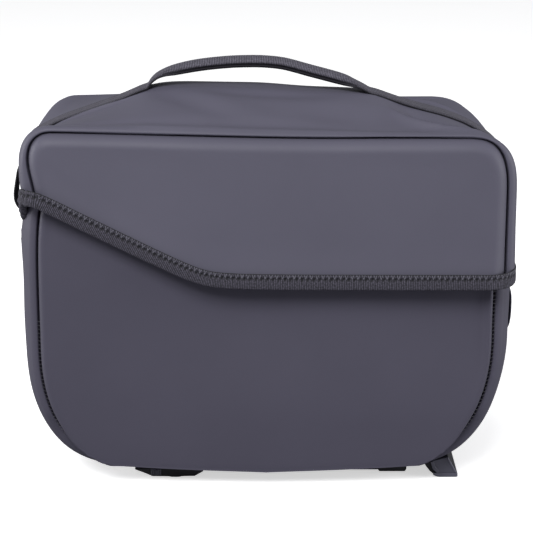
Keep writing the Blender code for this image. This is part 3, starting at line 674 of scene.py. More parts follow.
# Folds of the gusset: slack over the left side under the hem, and two small creases in it
GUSSET_FOLDS = [
    Fold((-0.1775, -0.060, 0.206), (-0.1805, -0.056, 0.188), (-0.1810, -0.048, 0.162), 0.0012, 0.0100, False),
    Fold((-0.1800, -0.058, 0.192), (-0.1815, -0.050, 0.188), (-0.1815, -0.030, 0.186), 0.0009, 0.0018, True),
    Fold((-0.1805, -0.058, 0.185), (-0.1815, -0.046, 0.182), (-0.1815, -0.030, 0.181), 0.0008, 0.0018, True),
]


def tub_gusset():
    at = row_places(GUSSET_ROWS)
    depth, inset, back, out = (column(GUSSET_ROWS, name, at) for name in ("depth", "inset", "back", "out"))
    normal = outward(tub_edge, TUB_MIDDLE[::2])
    pocket = CORNER_POCKET * eased(*BASE_OVERHANG_HEIGHTS, tub_edge[:, 1])
    rows = []
    for sign, reach, order in ((-1, TUB_FRONT, slice(None)), (1, TUB_BACK, slice(-2, None, -1))):
        for d, i, b, o in zip(depth[order], inset[order], back[order], out[order]):
            line = tub_seam_line(i, tub_edge) + normal * o
            y = sign * (d * reach - b - pocket * d**8)
            rows.append(np.stack([line[:, 0], y + 0 * line[:, 0], line[:, 1]], axis=1))
    grid = np.array(rows)
    normal = grid_normals(grid)
    away = np.sum(normal * (grid - np.array(TUB_MIDDLE)), axis=2).mean()
    normal *= 1.0 if away > 0 else -1.0
    lift = fold_height(grid, GUSSET_FOLDS)
    free = eased(0.0, GUSSET_TIGHT, TUB_FRONT - np.abs(grid[..., 1]))
    lift += slack(grid, *GUSSET_SLACK) * free
    return fabric_sheet("tub_gusset", grid + normal * lift[..., None], TUB_MIDDLE)


def patch(bottom, top, left, right, across, up):
    """Grid between four edge lines. Bottom and top run left to right, left and right run up."""
    u, v = np.asarray(across)[None, :, None], np.asarray(up)[:, None, None]
    b, t = along(bottom, across)[None], along(top, across)[None]
    l, r = along(left, up)[:, None], along(right, up)[:, None]
    flat = b * (1 - v) + t * v + l * (1 - u) + r * u
    low_corners = bottom[0] * (1 - u) * (1 - v) + bottom[-1] * u * (1 - v)
    return flat - (low_corners + top[0] * (1 - u) * v + top[-1] * u * v)


def distance_to(line, grid):
    """Distance of each point of a flat grid from a line."""
    best = np.full(grid.shape[:2], np.inf)
    for a, b in zip(line, line[1:]):
        run = b - a
        t = np.clip(((grid - a) @ run) / (run @ run + 1e-18), 0, 1)
        best = np.minimum(best, np.linalg.norm(grid - (a + t[..., None] * run), axis=2))
    return best


# Places of a panel's grid lines, close together where its edge rolls over
EDGE_LINES = [0.0, 0.0007, 0.0016, 0.0028, 0.0045, 0.0070]
EDGE_LINES += [0.0105, 0.0150, 0.0205, 0.0270, 0.0350, 0.0450]


def both_edges(middle):
    inner = np.linspace(EDGE_LINES[-1], 1 - EDGE_LINES[-1], middle + 1)[1:-1]
    return np.concatenate([EDGE_LINES, inner, 1 - np.array(EDGE_LINES[::-1])])


def one_edge(middle):
    return np.concatenate([EDGE_LINES, np.linspace(EDGE_LINES[-1], 1.0, middle + 1)[1:]])


def rolled_edge(distance, roll, stand, crispness=2.2):
    """Profile of a turned edge: up out of the seam's groove, then over in a roll."""
    near = np.clip(1 - distance / roll, 0, 1)
    return (stand + SEAM_DEPTH) * np.sqrt(np.clip(1 - near**crispness, 0, 1)) - SEAM_DEPTH


def crowned(distance, crown, reach):
    return crown * (1 - (1 - np.clip(distance / reach, 0, 1)) ** 2)


# Small marks in the front of the tub: place, half width and depth, below nothing where it stands proud
Dimple = namedtuple("Dimple", "x z width depth")
TUB_DIMPLES = [
    Dimple(0.1123, 0.1375, 0.0013, 0.00035),
    Dimple(-0.1085, 0.1413, 0.0012, 0.00025),
    Dimple(-0.0749, 0.0945, 0.0060, 0.00010),
    Dimple(-0.0579, 0.0976, 0.0050, 0.00010),
    Dimple(-0.0548, 0.0388, 0.0045, 0.00012),
    Dimple(0.0361, 0.0538, 0.0009, -0.00018),
]


def dimpled(grid, dimples):
    found = np.zeros(grid.shape[:2])
    for mark in dimples:
        far = np.hypot(grid[..., 0] - mark.x, grid[..., 1] - mark.z)
        found += mark.depth * np.exp(-((far / mark.width) ** 2))
    return found


def overhung(flat, line, distance):
    """A flat panel whose edge bulges out past its seam along the base, so that the seam lies behind it."""
    normal = outward(line, TUB_MIDDLE[::2])
    nearest = np.argmin(((flat[:, :, None] - line[None, None]) ** 2).sum(axis=3), axis=2)
    bulge = eased(0, OVERHANG_PLACES[0], distance) * (1 - eased(*OVERHANG_PLACES, distance))
    bulge = bulge * BASE_OVERHANG * eased(*BASE_OVERHANG_HEIGHTS, flat[..., 1])
    return flat + normal[nearest] * bulge[..., None]


def corner_cut(line, height):
    """Places in an outline where its left and right sides first drop below a height."""
    low = np.where(line[:, 1] < height)[0]
    return low[0], low[-1]


def tub_front():
    seam = tub_seam_line(1.0, tub_edge)
    first, last = corner_cut(seam, CORNERS_BELOW)
    left, base, right = seam[: first + 1][::-1], seam[first : last + 1], seam[last:]
    rim = np.array([seam[0], seam[-1]])
    flat = patch(base, rim, left, right, both_edges(110), one_edge(84))
    distance = distance_to(seam, flat)
    stand = rolled_edge(distance, TUB_ROLL, TUB_STAND, TUB_CRISPNESS)
    stand += crowned(distance, TUB_CROWN, CROWN_REACH)
    stand -= TUB_TUCK * eased(TUCK_FROM, TUB_RIM, flat[..., 1]) * np.clip(distance / TUB_ROLL, 0, 1)
    under_hem = eased(*HEM_HOLLOW_HEIGHTS, flat[..., 1]) * eased(*HEM_HOLLOW_PLACES, flat[..., 0])
    stand -= HEM_HOLLOW * under_hem * eased(0, TUB_ROLL, distance)
    from_edge = (distance - PIPED_PLACE) / PIPED_WIDTH
    stand += PIPED_EDGE * np.exp(-(from_edge**2)) * eased(*BASE_OVERHANG_HEIGHTS, flat[..., 1])
    stand -= dimpled(flat, TUB_DIMPLES)
    solid = np.insert(flat, 1, 0.0, axis=2)
    stand += slack(solid, *FRONT_SLACK) * eased(0.0, EDGE_TIGHT, distance)
    flat = overhung(flat, seam, distance)
    grid = np.insert(flat, 1, -(TUB_FRONT + stand), axis=2)
    return fabric_sheet("tub_front", grid, TUB_MIDDLE)


def threads(name, starts, ends, radius, inside):
    """Stitches of thread: a short soft-ended cord from each start to its end."""
    shape = [(0.0, 0.0), (0.0, 0.7), (0.15, 1.0), (0.85, 1.0), (1.0, 0.7), (1.0, 0.0)]
    turn = np.arange(6) * math.pi / 3
    points, faces = [], []
    for a, b in zip(np.asarray(starts), np.asarray(ends)):
        run = b - a
        side = np.cross(run, a - np.array(inside))
        side /= np.linalg.norm(side)
        rise = np.cross(side, run / np.linalg.norm(run))
        for share, wide in shape:
            ring = np.cos(turn)[:, None] * side + np.sin(turn)[:, None] * rise
            points.append(a + run * share + ring * radius * wide)
        first = 6 * (len(points) - len(shape))
        faces += [tuple(first + corner for corner in face) for face in ring_faces(len(shape), 6)]
    return new_object(name, np.concatenate(points), faces, inside, 60)


def thread_finish(name, dark, pale):
    """Bonded polyester thread, with a slow drift in tone."""
    found, nodes, links, shader = new_finish(name)
    grain = placed_group(nodes, GRAIN, Grain_per_metre=5200.0, Pebble_per_metre=3000.0, Drift_per_metre=160.0)
    links.new(two_tone(nodes, links, grain.outputs["Tone"], dark, pale), shader.inputs["Base Color"])
    shader.inputs["Roughness"].default_value = 0.62
    return found


def seam_thread():
    """The seam's thread where it shows, crossing the groove round both base corners."""
    seam = tub_seam_line(1.0, tub_edge)
    normal = outward(seam, TUB_MIDDLE[::2])
    run = lengths_along(seam)
    starts, ends = [], []
    for place in np.arange(0.0, run[-1], SEAM_PITCH):
        x, z = (np.interp(place, run, seam[:, k]) for k in (0, 1))
        top = SEAM_THREAD_TOP[-1] if x < 0 else SEAM_THREAD_TOP[1]
        if not SEAM_THREAD_END < z < top:
            continue
        away = np.array([np.interp(place, run, normal[:, 0]), 0.0, np.interp(place, run, normal[:, 1])])
        at = np.array([x, -TUB_FRONT, z])
        for found, (outer, back) in ((starts, SEAM_THREAD_FROM), (ends, SEAM_THREAD_TO)):
            found.append(at + away * outer + (0, back, 0))
    return threads("seam_thread", starts, ends, SEAM_THREAD, TUB_MIDDLE)


SEAM_FINISH = thread_finish("seam thread", (0.012, 0.012, 0.017), (0.026, 0.025, 0.034))

fit(tub_gusset(), TUB_CLOTH_PAINTED_SHADE, "body_fabric", "body_gusset")
fit(tub_front(), TUB_CLOTH_PAINTED_SHADE, "body_fabric", "front_panel")
fit(seam_thread(), SEAM_FINISH, "body_fabric")


# Lid. One band of the same fabric makes the tented top and both side drops. The ridge tape draws it up along
# the middle, so that it falls in soft folds to the corners. The face is seamed to its front edge
# and both fall open to a hem that slants up to the left.

lid_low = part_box("lid_band")[0]
LID_HALF = TUB_HALF + 0.0018
LID_SEAM = -lid_low.y
LID_TUCK = 0.0045
LID_RISE = 0.0256
LID_TILT = 0.0040
LID_TILT_PLACES = (0.3, -1.0)
LID_TOP_SAG = 0.000425
LID_SEAM_INSET = 0.0127
LID_CORNER_REACH = 0.024
LID_CORNER_DROP = 0.032
LID_ROLL = 0.0095
LID_STAND = 0.0066
LID_CROWN = 0.0018
LID_FLARE = 0.0020
HEM_KICK = 0.0022
HEM_KICK_REACH = 0.034
TOP_ROLL = 0.0064
BACK_TOP_ROLL = 0.0024
BACK_SOFTENING = {-1: 1.15, 1: 1.35}
BACK_CORNER_POWER = 2.4
CORNER_PINCH = 0.40
PINCH_HEIGHTS = (0.038, 0.010)
RIDGE_DROP = 0.0078
RIDGE_CORNER = 0.0300
DOME = 0.0332
TUCK_HEIGHTS = (0.250, 0.218)
TUCK_PLACES = (-0.060, -0.025)
BACK_LEFT_DROP = 0.0030
HEM_HEIGHT = 0.1560
HEM_SLOPE = 0.510
HEM_BEND = 0.0460
HEM_SOFTNESS = 0.016
CURL_DROP = 0.0170
CORNER_DIP = 0.0060
CORNER_DIP_PLACES = (-0.163, -0.180)
TAPE_WIDTH = 0.0118
TAPE_THICKNESS = 0.0010
EDGE_OVER_FOLD = 0.0006
SLOPE_STEP = 0.0003
LID_SLACK = Slack(0.085, 0.0006, 23)
LID_TIGHT = 0.014
HEM_LINES_FLAT = (6, 26)
UNDER_WEBBING = (0.010, 0.014)
FACE_SLACK = Slack(0.120, 0.0004, 31)
ROLL_LOSS = 0.55
BACK_DROP_PLACES = (-0.080, -0.165)

# Band from inside its front seam to the ridge: depth, inset, share of the ridge's rise, how far back and how
# far out it lies besides, grid lines to the next row
BandRow = namedtuple("BandRow", "depth inset rise back out lines")
BAND_ROWS = [
    BandRow(1.000, 1.000, 0.00, 0.0062, 0.00005, 2),
    BandRow(1.000, 1.000, 0.00, 0.0036, 0.00060, 2),
    BandRow(1.000, 1.000, 0.00, 0.0015, 0.00090, 2),
    BandRow(1.000, 1.000, 0.00, 0.0004, 0.00135, 2),
    BandRow(0.999, 0.960, 0.00, 0.0001, 0.00160, 2),
    BandRow(0.996, 0.850, 0.00, 0.0000, 0.00160, 2),
    BandRow(0.989, 0.700, 0.00, 0.0000, 0.00140, 2),
    BandRow(0.965, 0.480, 0.01, 0.0000, 0.00100, 3),
    BandRow(0.920, 0.300, 0.05, 0.0000, 0.00050, 5),
    BandRow(0.840, 0.170, 0.16, 0.0000, 0.00010, 9),
    BandRow(0.660, 0.050, 0.42, 0.0000, 0.00000, 12),
    BandRow(0.430, 0.000, 0.74, 0.0000, 0.00000, 9),
    BandRow(0.260, 0.000, 0.93, 0.0000, 0.00000, 9),
    BandRow(0.158, 0.000, 1.00, 0.0000, 0.00000, 4),
    BandRow(0.000, 0.000, 1.00, 0.0000, 0.00000, 1),
]

# Ridge of the tented top: place across as a share of the half width, rise as a share of the dome
RidgeRow = namedtuple("RidgeRow", "across rise")
RIDGE = [
    RidgeRow(-1.000, 0.00),
    RidgeRow(-0.930, 0.00),
    RidgeRow(-0.885, 0.08),
    RidgeRow(-0.850, 0.17),
    RidgeRow(-0.770, 0.33),
    RidgeRow(-0.687, 0.49),
    RidgeRow(-0.583, 0.70),
    RidgeRow(-0.488, 0.92),
    RidgeRow(-0.375, 1.00),
    RidgeRow(-0.065, 0.98),
    RidgeRow(0.137, 0.92),
    RidgeRow(0.424, 0.82),
    RidgeRow(0.488, 0.71),
    RidgeRow(0.550, 0.59),
    RidgeRow(0.634, 0.45),
    RidgeRow(0.716, 0.33),
    RidgeRow(0.800, 0.17),
    RidgeRow(0.850, 0.06),
    RidgeRow(0.900, 0.00),
    RidgeRow(1.000, 0.00),
]

# Hem on the left side, front to back: depth as a share of the lid's seam, drop as a share of the curl's
HemRow = namedtuple("HemRow", "depth drop")
LEFT_HEM = [
    HemRow(-1.10, 0.00),
    HemRow(-1.00, 0.06),
    HemRow(-0.93, 0.32),
    HemRow(-0.86, 0.72),
    HemRow(-0.78, 0.95),
    HemRow(-0.62, 1.10),
    HemRow(-0.35, 1.42),
    HemRow(-0.15, 1.60),
    HemRow(0.00, 1.64),
    HemRow(1.00, 1.64),
]

LID_TOP = TUB_RIM + LID_RISE
LID_MIDDLE = (0.0, 0.0, 0.20)

# Folds of the lid: creases from the handle's right foot to the front corner, a valley from its left foot,
# the crest of the front roll, and gathers at the left side's drop
LID_FOLDS = [
    Fold((0.090, -0.034, 0.280), (0.115, -0.080, 0.273), (0.162, -0.076, 0.266), 0.0066, 0.0042, True),
    Fold((0.104, -0.018, 0.276), (0.126, -0.058, 0.271), (0.164, -0.060, 0.264), -0.0052, 0.0090, False),
    Fold((0.104, -0.036, 0.276), (0.118, -0.060, 0.272), (0.134, -0.066, 0.270), 0.0016, 0.0026, True),
    Fold((0.020, -0.048, 0.284), (0.070, -0.056, 0.281), (0.104, -0.066, 0.274), -0.0034, 0.0160, False),
    Fold((-0.086, -0.014, 0.289), (-0.064, -0.040, 0.285), (-0.020, -0.064, 0.276), -0.0022, 0.0110, False),
    Fold((-0.060, -0.016, 0.292), (-0.030, -0.046, 0.284), (0.010, -0.068, 0.275), 0.0014, 0.0120, False),
    Fold((-0.050, -0.020, 0.291), (0.000, -0.029, 0.289), (0.050, -0.020, 0.288), -0.0022, 0.0080, False),
    Fold((-0.166, -0.076, 0.267), (-0.130, -0.0785, 0.270), (-0.060, -0.0785, 0.271), 0.0018, 0.0026, True),
    Fold((-0.120, -0.0785, 0.270), (0.010, -0.0785, 0.270), (0.150, -0.0785, 0.268), 0.0014, 0.0040, False),
    Fold((-0.150, -0.066, 0.268), (-0.120, -0.070, 0.271), (-0.050, -0.071, 0.273), -0.0014, 0.0046, False),
    Fold((-0.080, -0.070, 0.270), (0.010, -0.069, 0.272), (0.110, -0.070, 0.270), -0.0012, 0.0060, False),
    Fold((0.100, 0.044, 0.276), (0.127, 0.040, 0.271), (0.160, 0.024, 0.262), 0.0038, 0.0034, True),
    Fold((-0.160, -0.0152, 0.264), (-0.126, -0.0152, 0.275), (-0.090, -0.0152, 0.288), 0.0024, 0.0016, True),
    Fold((-0.157, 0.0152, 0.264), (-0.126, 0.0152, 0.275), (-0.100, 0.0152, 0.288), 0.0018, 0.0015, True),
    Fold((0.108, 0.0160, 0.276), (0.128, 0.0160, 0.271), (0.150, 0.0160, 0.264), 0.0018, 0.0018, True),
    Fold((-0.185, -0.060, 0.246), (-0.185, -0.064, 0.228), (-0.182, -0.072, 0.206), 0.0014, 0.0030, True),
    Fold((-0.184, -0.074, 0.240), (-0.183, -0.075, 0.226), (-0.180, -0.077, 0.208), -0.0010, 0.0022, True),
]


def lid_top(x):
    """Height of the lid's top seam. It rises a little to the left and sags in the middle."""
    across = np.asarray(x, float) / LID_HALF
    tilt = LID_TILT * eased(*LID_TILT_PLACES, across)
    return LID_TOP + tilt - LID_TOP_SAG * (1 - across**2)


def lid_tuck(z):
    return LID_TUCK * eased(*TUCK_HEIGHTS, z)


def tuck_share(y):
    """The left drop is drawn in at its front corner only. Behind that it hangs clear of the tub."""
    return 1 - eased(*TUCK_PLACES, y)


def lid_seam_side(side):
    return LID_HALF - LID_SEAM_INSET * side.lid_seam


def front_hem(x):
    """Height of the hem's lower edge across the front: level on the right, slanting up to the left."""
    past = -HEM_BEND - np.asarray(x, float)
    dip = CORNER_DIP * eased(*CORNER_DIP_PLACES, x)
    return HEM_HEIGHT + HEM_SLOPE / 2 * (past + np.hypot(past, HEM_SOFTNESS)) - dip


def side_hem(side, y):
    """Height of the hem's lower edge along a side."""
    corner = front_hem(side.sign * lid_seam_side(side))
    if side.sign > 0:
        return corner + 0.0 * np.asarray(y, float)
    return corner - CURL_DROP * curve_through(LEFT_HEM, np.asarray(y, float) / LID_SEAM)


def above_tape(height, at):
    """Height of the fabric's own edge, which lies in the fold of the tape."""
    slope = (height(at + SLOPE_STEP) - height(at - SLOPE_STEP)) / (2 * SLOPE_STEP)
    return height(at) + (TAPE_THICKNESS + EDGE_OVER_FOLD) * np.hypot(1, slope)


def lid_run(y, edge, reach, drop, power, top, side_lines=40, corner_lines=30, top_lines=190):
    """A line up the left side, over the top and down the right, each size a function of the side."""
    halves = []
    for side in (LEFT, RIGHT):
        turn = side.sign * (edge(side) - reach(side))
        centre = float(top(turn)) - drop(side)
        hem = float(above_tape(lambda depth: side_hem(side, depth), y))
        z = np.linspace(hem, centre, side_lines, endpoint=False)
        straight = np.stack([np.full(side_lines, edge(side)), z], axis=1)
        corner = quarter(reach(side), drop(side), power(side), 120)
        corner = along(corner, np.linspace(0, 1, corner_lines)) + (edge(side) - reach(side), centre)
        halves.append(np.concatenate([straight, corner]) * (side.sign, 1))
    x = np.linspace(halves[0][-1, 0], halves[1][-1, 0], top_lines)[1:-1]
    return np.concatenate([halves[0], np.stack([x, top(x)], axis=1), halves[1][::-1]])


def lid_shoulder(y, inset):
    """The lid's outline between its seam, at an inset of 1, and its full width, at 0. Its back is softer."""
    soft = BACK_SOFTENING if y > 0 else {-1: 1.0, 1: 1.0}
    top_roll = BACK_TOP_ROLL if y > 0 else TOP_ROLL
    line = lid_run(
        y,
        edge=lid_seam_side,
        reach=lambda side: LID_CORNER_REACH * side.top_reach * soft[side.sign],
        drop=lambda side: LID_CORNER_DROP * side.top_drop * soft[side.sign],
        power=lambda side: BACK_CORNER_POWER if y > 0 else side.top_power,
        top=lid_top,
    )
    line = relaxed(line, 3)
    normal = outward(line, (0, HEM_HEIGHT))
    roll = top_roll * (1 - ROLL_LOSS * eased(-1.0, 1.0, line[:, 0] / LID_HALF))
    top = float(lid_top(0))
    pinch = 1 - CORNER_PINCH * eased(top - PINCH_HEIGHTS[0], top - PINCH_HEIGHTS[1], line[:, 1])
    if y < 0:
        pinch = np.where(line[:, 0] > 0, 1.0, pinch)
    else:
        line[:, 1] -= BACK_LEFT_DROP * eased(*BACK_DROP_PLACES, line[:, 0])
    seam = np.where(line[:, 0] < 0, LEFT.lid_seam, RIGHT.lid_seam)
    outset = np.stack([LID_SEAM_INSET * seam * pinch * normal[:, 0], roll * normal[:, 1]], axis=1)
    return line + outset * (1 - inset)


def lid_ridge(y):
    """The lid's outline on its ridge: softer corners, drawn down by the webbing, and a dome between."""
    base = float(lid_top(0)) - RIDGE_DROP
    line = lid_run(
        y,
        edge=lambda side: LID_HALF,
        reach=lambda side: RIDGE_CORNER * side.ridge_reach,
        drop=lambda side: RIDGE_CORNER * side.ridge_drop,
        power=lambda side: side.base_power,
        top=lambda x: base + 0.0 * np.asarray(x, float),
    )
    line = relaxed(line, 3)
    line[:, 1] += DOME * curve_through(RIDGE, line[:, 0] / LID_HALF)
    return relaxed(line, 6)


def lid_outline(y, inset, rise):
    line = lid_shoulder(y, inset) * (1 - rise) + lid_ridge(y) * rise
    line[:, 0] += np.where(line[:, 0] < 0, lid_tuck(line[:, 1]) * tuck_share(y), 0.0)
    return line


def lid_band():
    at = row_places(BAND_ROWS)
    names = ("depth", "inset", "rise", "back", "out")
    values = np.stack([column(BAND_ROWS, name, at) for name in names], axis=1)
    rows = []
    for sign, order in ((-1, slice(None)), (1, slice(-2, None, -1))):
        for depth, inset, rise, back, out in values[order]:
            y = sign * (depth * LID_SEAM - back)
            line = lid_outline(y, inset, rise)
            line += out * outward(line, (0, HEM_HEIGHT))
            rows.append(np.insert(line, 1, y, axis=1))
    grid = np.array(rows)
    normal = grid_normals(grid)
    away = np.sum(normal * (grid - np.array(LID_MIDDLE)), axis=2).mean()
    normal *= 1.0 if away > 0 else -1.0
    lift = fold_height(grid, LID_FOLDS)
    free = eased(0.0, LID_TIGHT, LID_SEAM - np.abs(grid[..., 1]))
    lines = np.arange(grid.shape[1])
    sewn_flat = eased(*HEM_LINES_FLAT, np.minimum(lines, lines[::-1]))
    lift += slack(grid, *LID_SLACK) * free * sewn_flat
    lift *= eased(*UNDER_WEBBING, np.abs(grid[..., 1]))
    return fabric_sheet("lid_top_band", grid + normal * lift[..., None], LID_MIDDLE)


# Small marks in the lid's face
LID_DIMPLES = [
    Dimple(0.1145, 0.2459, 0.0016, 0.00030),
    Dimple(0.1617, 0.2423, 0.0010, 0.00025),
    Dimple(0.1610, 0.2196, 0.0011, 0.00025),
]


def lid_face_stand(distance, z, above_hem):
    """How far the lid's face stands out past its seam: it flares a little towards its free hem."""
    flare = LID_FLARE * eased(LID_TOP, HEM_HEIGHT, z)
    flare = flare + HEM_KICK * np.clip(1 - above_hem / HEM_KICK_REACH, 0, 1) ** 2
    stand = rolled_edge(distance, LID_ROLL, LID_STAND) + crowned(distance, LID_CROWN, LID_TOP - HEM_HEIGHT)
    return stand + flare * np.clip(distance / LID_ROLL, 0, 1)


def lid_face():
    line = lid_outline(-LID_SEAM, 1.0, 0.0)
    half = len(line) // 2
    first = int(np.argmax(line[:half] @ (-1, 1)))
    last = half + int(np.argmax(line[half:] @ (1, 1)))
    left, top, right = line[: first + 1], line[first : last + 1], line[last:][::-1]
    x = np.linspace(line[0, 0], line[-1, 0], 300)
    hem = np.stack([x, above_tape(front_hem, x)], axis=1)
    hem[0], hem[-1] = line[0], line[-1]
    flat = patch(hem, top, left, right, both_edges(120), 1 - one_edge(70)[::-1])
    distance = distance_to(line, flat)
    stand = lid_face_stand(distance, flat[..., 1], flat[..., 1] - front_hem(flat[..., 0]))
    stand -= dimpled(flat, LID_DIMPLES)
    solid = np.insert(flat, 1, 0.0, axis=2)
    stand += slack(solid, *FACE_SLACK) * eased(0.0, EDGE_TIGHT, distance)
    grid = np.insert(flat, 1, -(LID_SEAM + stand), axis=2)
    return fabric_sheet("lid_face", grid, LID_MIDDLE)


# Painted light: the lid's copy of the same coated fabric is painted lighter than the tub's, in place of the
# stronger light on the lid.
LID_CLOTH_PAINTED_LIGHT = coated_fabric("lid coated fabric painted light", (0.076, 0.073, 0.101), (0.095, 0.091, 0.125))

fit(lid_band(), LID_CLOTH_PAINTED_LIGHT, "lid_fabric", "lid_band")
fit(lid_face(), LID_CLOTH_PAINTED_LIGHT, "lid_fabric", "lid_front")


# Back panel. One piece from the base to the lid's top seam, seamed to the tub below the hem and to the lid
# above it, so that the lid hinges on it. It is hidden in the photo and finished plainly.

BACK_STEP = 0.0025
BACK_STEP_RAMP = 0.040
BACK_HEM_PLACES = (-0.150, 0.150)
BACK_SLACK = Slack(0.120, 0.0006, 47)


def tub_back():
    tub = tub_seam_line(1.0, tub_edge)
    lid = lid_outline(LID_SEAM, 1.0, 0.0)
    low = {side.sign: float(side_hem(side, LID_SEAM)) for side in (LEFT, RIGHT)}
    first, last = corner_cut(tub, CORNERS_BELOW)
    half = len(lid) // 2
    top_first = int(np.argmax(lid[:half] @ (-1, 1)))
    top_last = half + int(np.argmax(lid[half:] @ (1, 1)))
    tub_left, tub_right = tub[: first + 1][::-1], tub[last:]
    left = np.concatenate([tub_left[tub_left[:, 1] < low[-1]], lid[: top_first + 1]])
    right = np.concatenate([tub_right[tub_right[:, 1] < low[1]], lid[top_last:][::-1]])
    base, top = tub[first : last + 1], lid[top_first : top_last + 1]
    flat = patch(base, top, left, right, both_edges(80), both_edges(56))
    border = np.concatenate([base, right, top[::-1], left[::-1]])
    distance = distance_to(border, flat)
    hem = low[-1] + (low[1] - low[-1]) * eased(*BACK_HEM_PLACES, flat[..., 0])
    seam = TUB_BACK + BACK_STEP * eased(hem - BACK_STEP_RAMP, hem, flat[..., 1])
    stand = rolled_edge(distance, TUB_ROLL, TUB_STAND) + crowned(distance, BACK_CROWN, CROWN_REACH)
    solid = np.insert(flat, 1, 0.0, axis=2)
    stand += slack(solid, *BACK_SLACK) * eased(0.0, EDGE_TIGHT, distance)
    grid = np.insert(flat, 1, seam + stand, axis=2)
    return fabric_sheet("tub_back", grid, TUB_MIDDLE)


fit(tub_back(), TUB_CLOTH_PAINTED_SHADE, "body_fabric", "back_panel")


# Hem tape. A 25 mm grosgrain tape is folded over the lid's free edge and sewn through near its upper edge
# with a zigzag. The cords of its weave stand up as ribs across it. At the left corner it crumples in a curl.

HEM_MIDDLE = (0, 0, 0.18)
HEM_RIB = 0.00125
RIB_ROUNDNESS = 0.6
HEM_RIB_HEIGHT = 0.00028
HEM_CORNER_REACH = 0.0240
HEM_CORNER_RUN = 0.0345
HEM_STAND = {-1: -0.0004, 1: -0.0004}
HEM_CORNER_POWER = {-1: 2.0, 1: 2.3}
STITCH_ROW = 0.0081
STITCH_PITCH = 0.0042
STITCH_LEAN = 0.45
STITCH_HOLE = 0.00080
STITCH_HOLE_LENGTH = 0.0014
STITCH_SINK = 0.00045
THREAD = 0.00026
THREAD_FROM = (0.0004, 0.0010)
THREAD_TO = (-0.0002, 0.0011)
FACE_GAP = 0.0007
HEM_BACK_END = 0.92
CORNER_JOIN = (0.55, 0.90)
CRUMPLE_ACROSS = (-0.178, -0.160)
CRUMPLE_BACK = (-0.070, -0.040)
CRUMPLE_WAVES = (0.0085, 0.0047)
CRUMPLE_CREASES = (0.0056, 0.0062)
CRUMPLE_HEIGHT = 0.0003
CRUMPLE_RISE = 0.0004
CRUMPLE_BULK = (0.4, 0.8)
UNEVEN_EDGE = 0.00012


def hem_line(step):
    """Points along the lid's free edge at an even step, with the directions out of the fabric and up it."""
    face = LID_SEAM + FACE_GAP + LID_STAND + LID_FLARE + HEM_KICK + LID_CROWN
    turn = -(face - HEM_CORNER_RUN)
    back = LID_SEAM * HEM_BACK_END
    halves = []
    for side in (LEFT, RIGHT):
        edge = LID_HALF + HEM_STAND[side.sign]
        y = np.linspace(back, turn, 80, endpoint=False)
        share = np.abs(y) / LID_SEAM
        rows = sorted((row.depth, row.inset * (1 - row.rise)) for row in BAND_ROWS[7:])
        inset = LID_SEAM_INSET * side.lid_seam * curve_through(rows, share)
        start = LID_SEAM_INSET * side.lid_seam * float(curve_through(rows, [abs(turn) / LID_SEAM])[0])
        straight = np.stack([edge - inset, y], axis=1)
        corner = quarter(HEM_CORNER_REACH, HEM_CORNER_RUN, HEM_CORNER_POWER[side.sign], 160)
        corner = np.stack([edge - start - HEM_CORNER_REACH + corner[:, 0], turn - corner[:, 1]], axis=1)
        halves.append(np.concatenate([straight, corner]) * (side.sign, 1))
    plan = np.concatenate([halves[0], halves[1][::-1]])
    plan = relaxed(along(plan, np.linspace(0, 1, 1400)), 10)
    x, y = plan.T
    height = np.empty(len(plan))
    for side in (LEFT, RIGHT):
        here = x * side.sign > 0
        join = [turn - HEM_CORNER_RUN * share for share in CORNER_JOIN]
        round_corner = eased(*join, y[here])
        height[here] = side_hem(side, y[here]) * (1 - round_corner) + front_hem(x[here]) * round_corner
    side_share = np.where(x < 0, eased(-face, turn, y) * tuck_share(y), 0.0)
    line = np.stack([x + lid_tuck(height) * side_share, y, height], axis=1)
    count = int(round(lengths_along(line)[-1] / step))
    line = relaxed(along(line, np.linspace(0, 1, count + 1)), 4)
    run = np.gradient(line, axis=0)
    out = np.stack([run[:, 1], -run[:, 0], np.zeros(len(run))], axis=1)
    out /= np.linalg.norm(out, axis=1, keepdims=True)
    out *= np.where(np.sum(out * line * (1, 1, 0), axis=1) < 0, -1.0, 1.0)[:, None]
    run /= np.linalg.norm(run, axis=1, keepdims=True)
    up = np.cross(run, out)
    up *= np.where(up[:, 2] < 0, -1.0, 1.0)[:, None]
    return line, out, up


# Section of the folded tape from the inner leg's edge, under the fabric's edge, to the outer leg's edge:
# how far out of the fabric, how far up, share of the rib's height, which also sets the rib's painted crest
# light, so that the tape's edges, where it falls to nothing, are painted dark as painted shade
TapeRow = namedtuple("TapeRow", "out up rib lines")
TAPE_ROWS = [
    TapeRow(-0.00260, 0.00600, 0.0, 3),
    TapeRow(-0.00275, 0.00300, 0.5, 3),
    TapeRow(-0.00250, 0.00070, 1.0, 2),
    TapeRow(-0.00170, 0.00010, 1.0, 2),
    TapeRow(-0.00060, -0.00005, 1.0, 2),
    TapeRow(0.00050, 0.00040, 1.0, 2),
    TapeRow(0.00095, 0.00150, 1.0, 2),
    TapeRow(0.00105, 0.00400, 1.0, 4),
    TapeRow(0.00095, 0.00700, 1.0, 4),
    TapeRow(0.00060, 0.00830, 0.8, 4),
    TapeRow(0.00085, 0.00960, 1.0, 3),
    TapeRow(0.00100, 0.01090, 1.0, 2),
    TapeRow(0.00070, 0.01170, 0.4, 1),
    TapeRow(0.00000, 0.01180, 0.0, 1),
]


def ribbed(count, steps):
    """Height of a rib at each of a number of points along it: a round cord and a narrow groove."""
    phase = np.arange(count) % steps / steps
    return np.abs(np.sin(math.pi * phase)) ** RIB_ROUNDNESS


def painted(obj, name, values):
    """Keeps a share from 0 to 1 for each point of a mesh, which the material reads."""
    layer = obj.data.attributes.new(name, "FLOAT", "POINT")
    layer.data.foreach_set("value", np.asarray(values, np.float32).ravel())


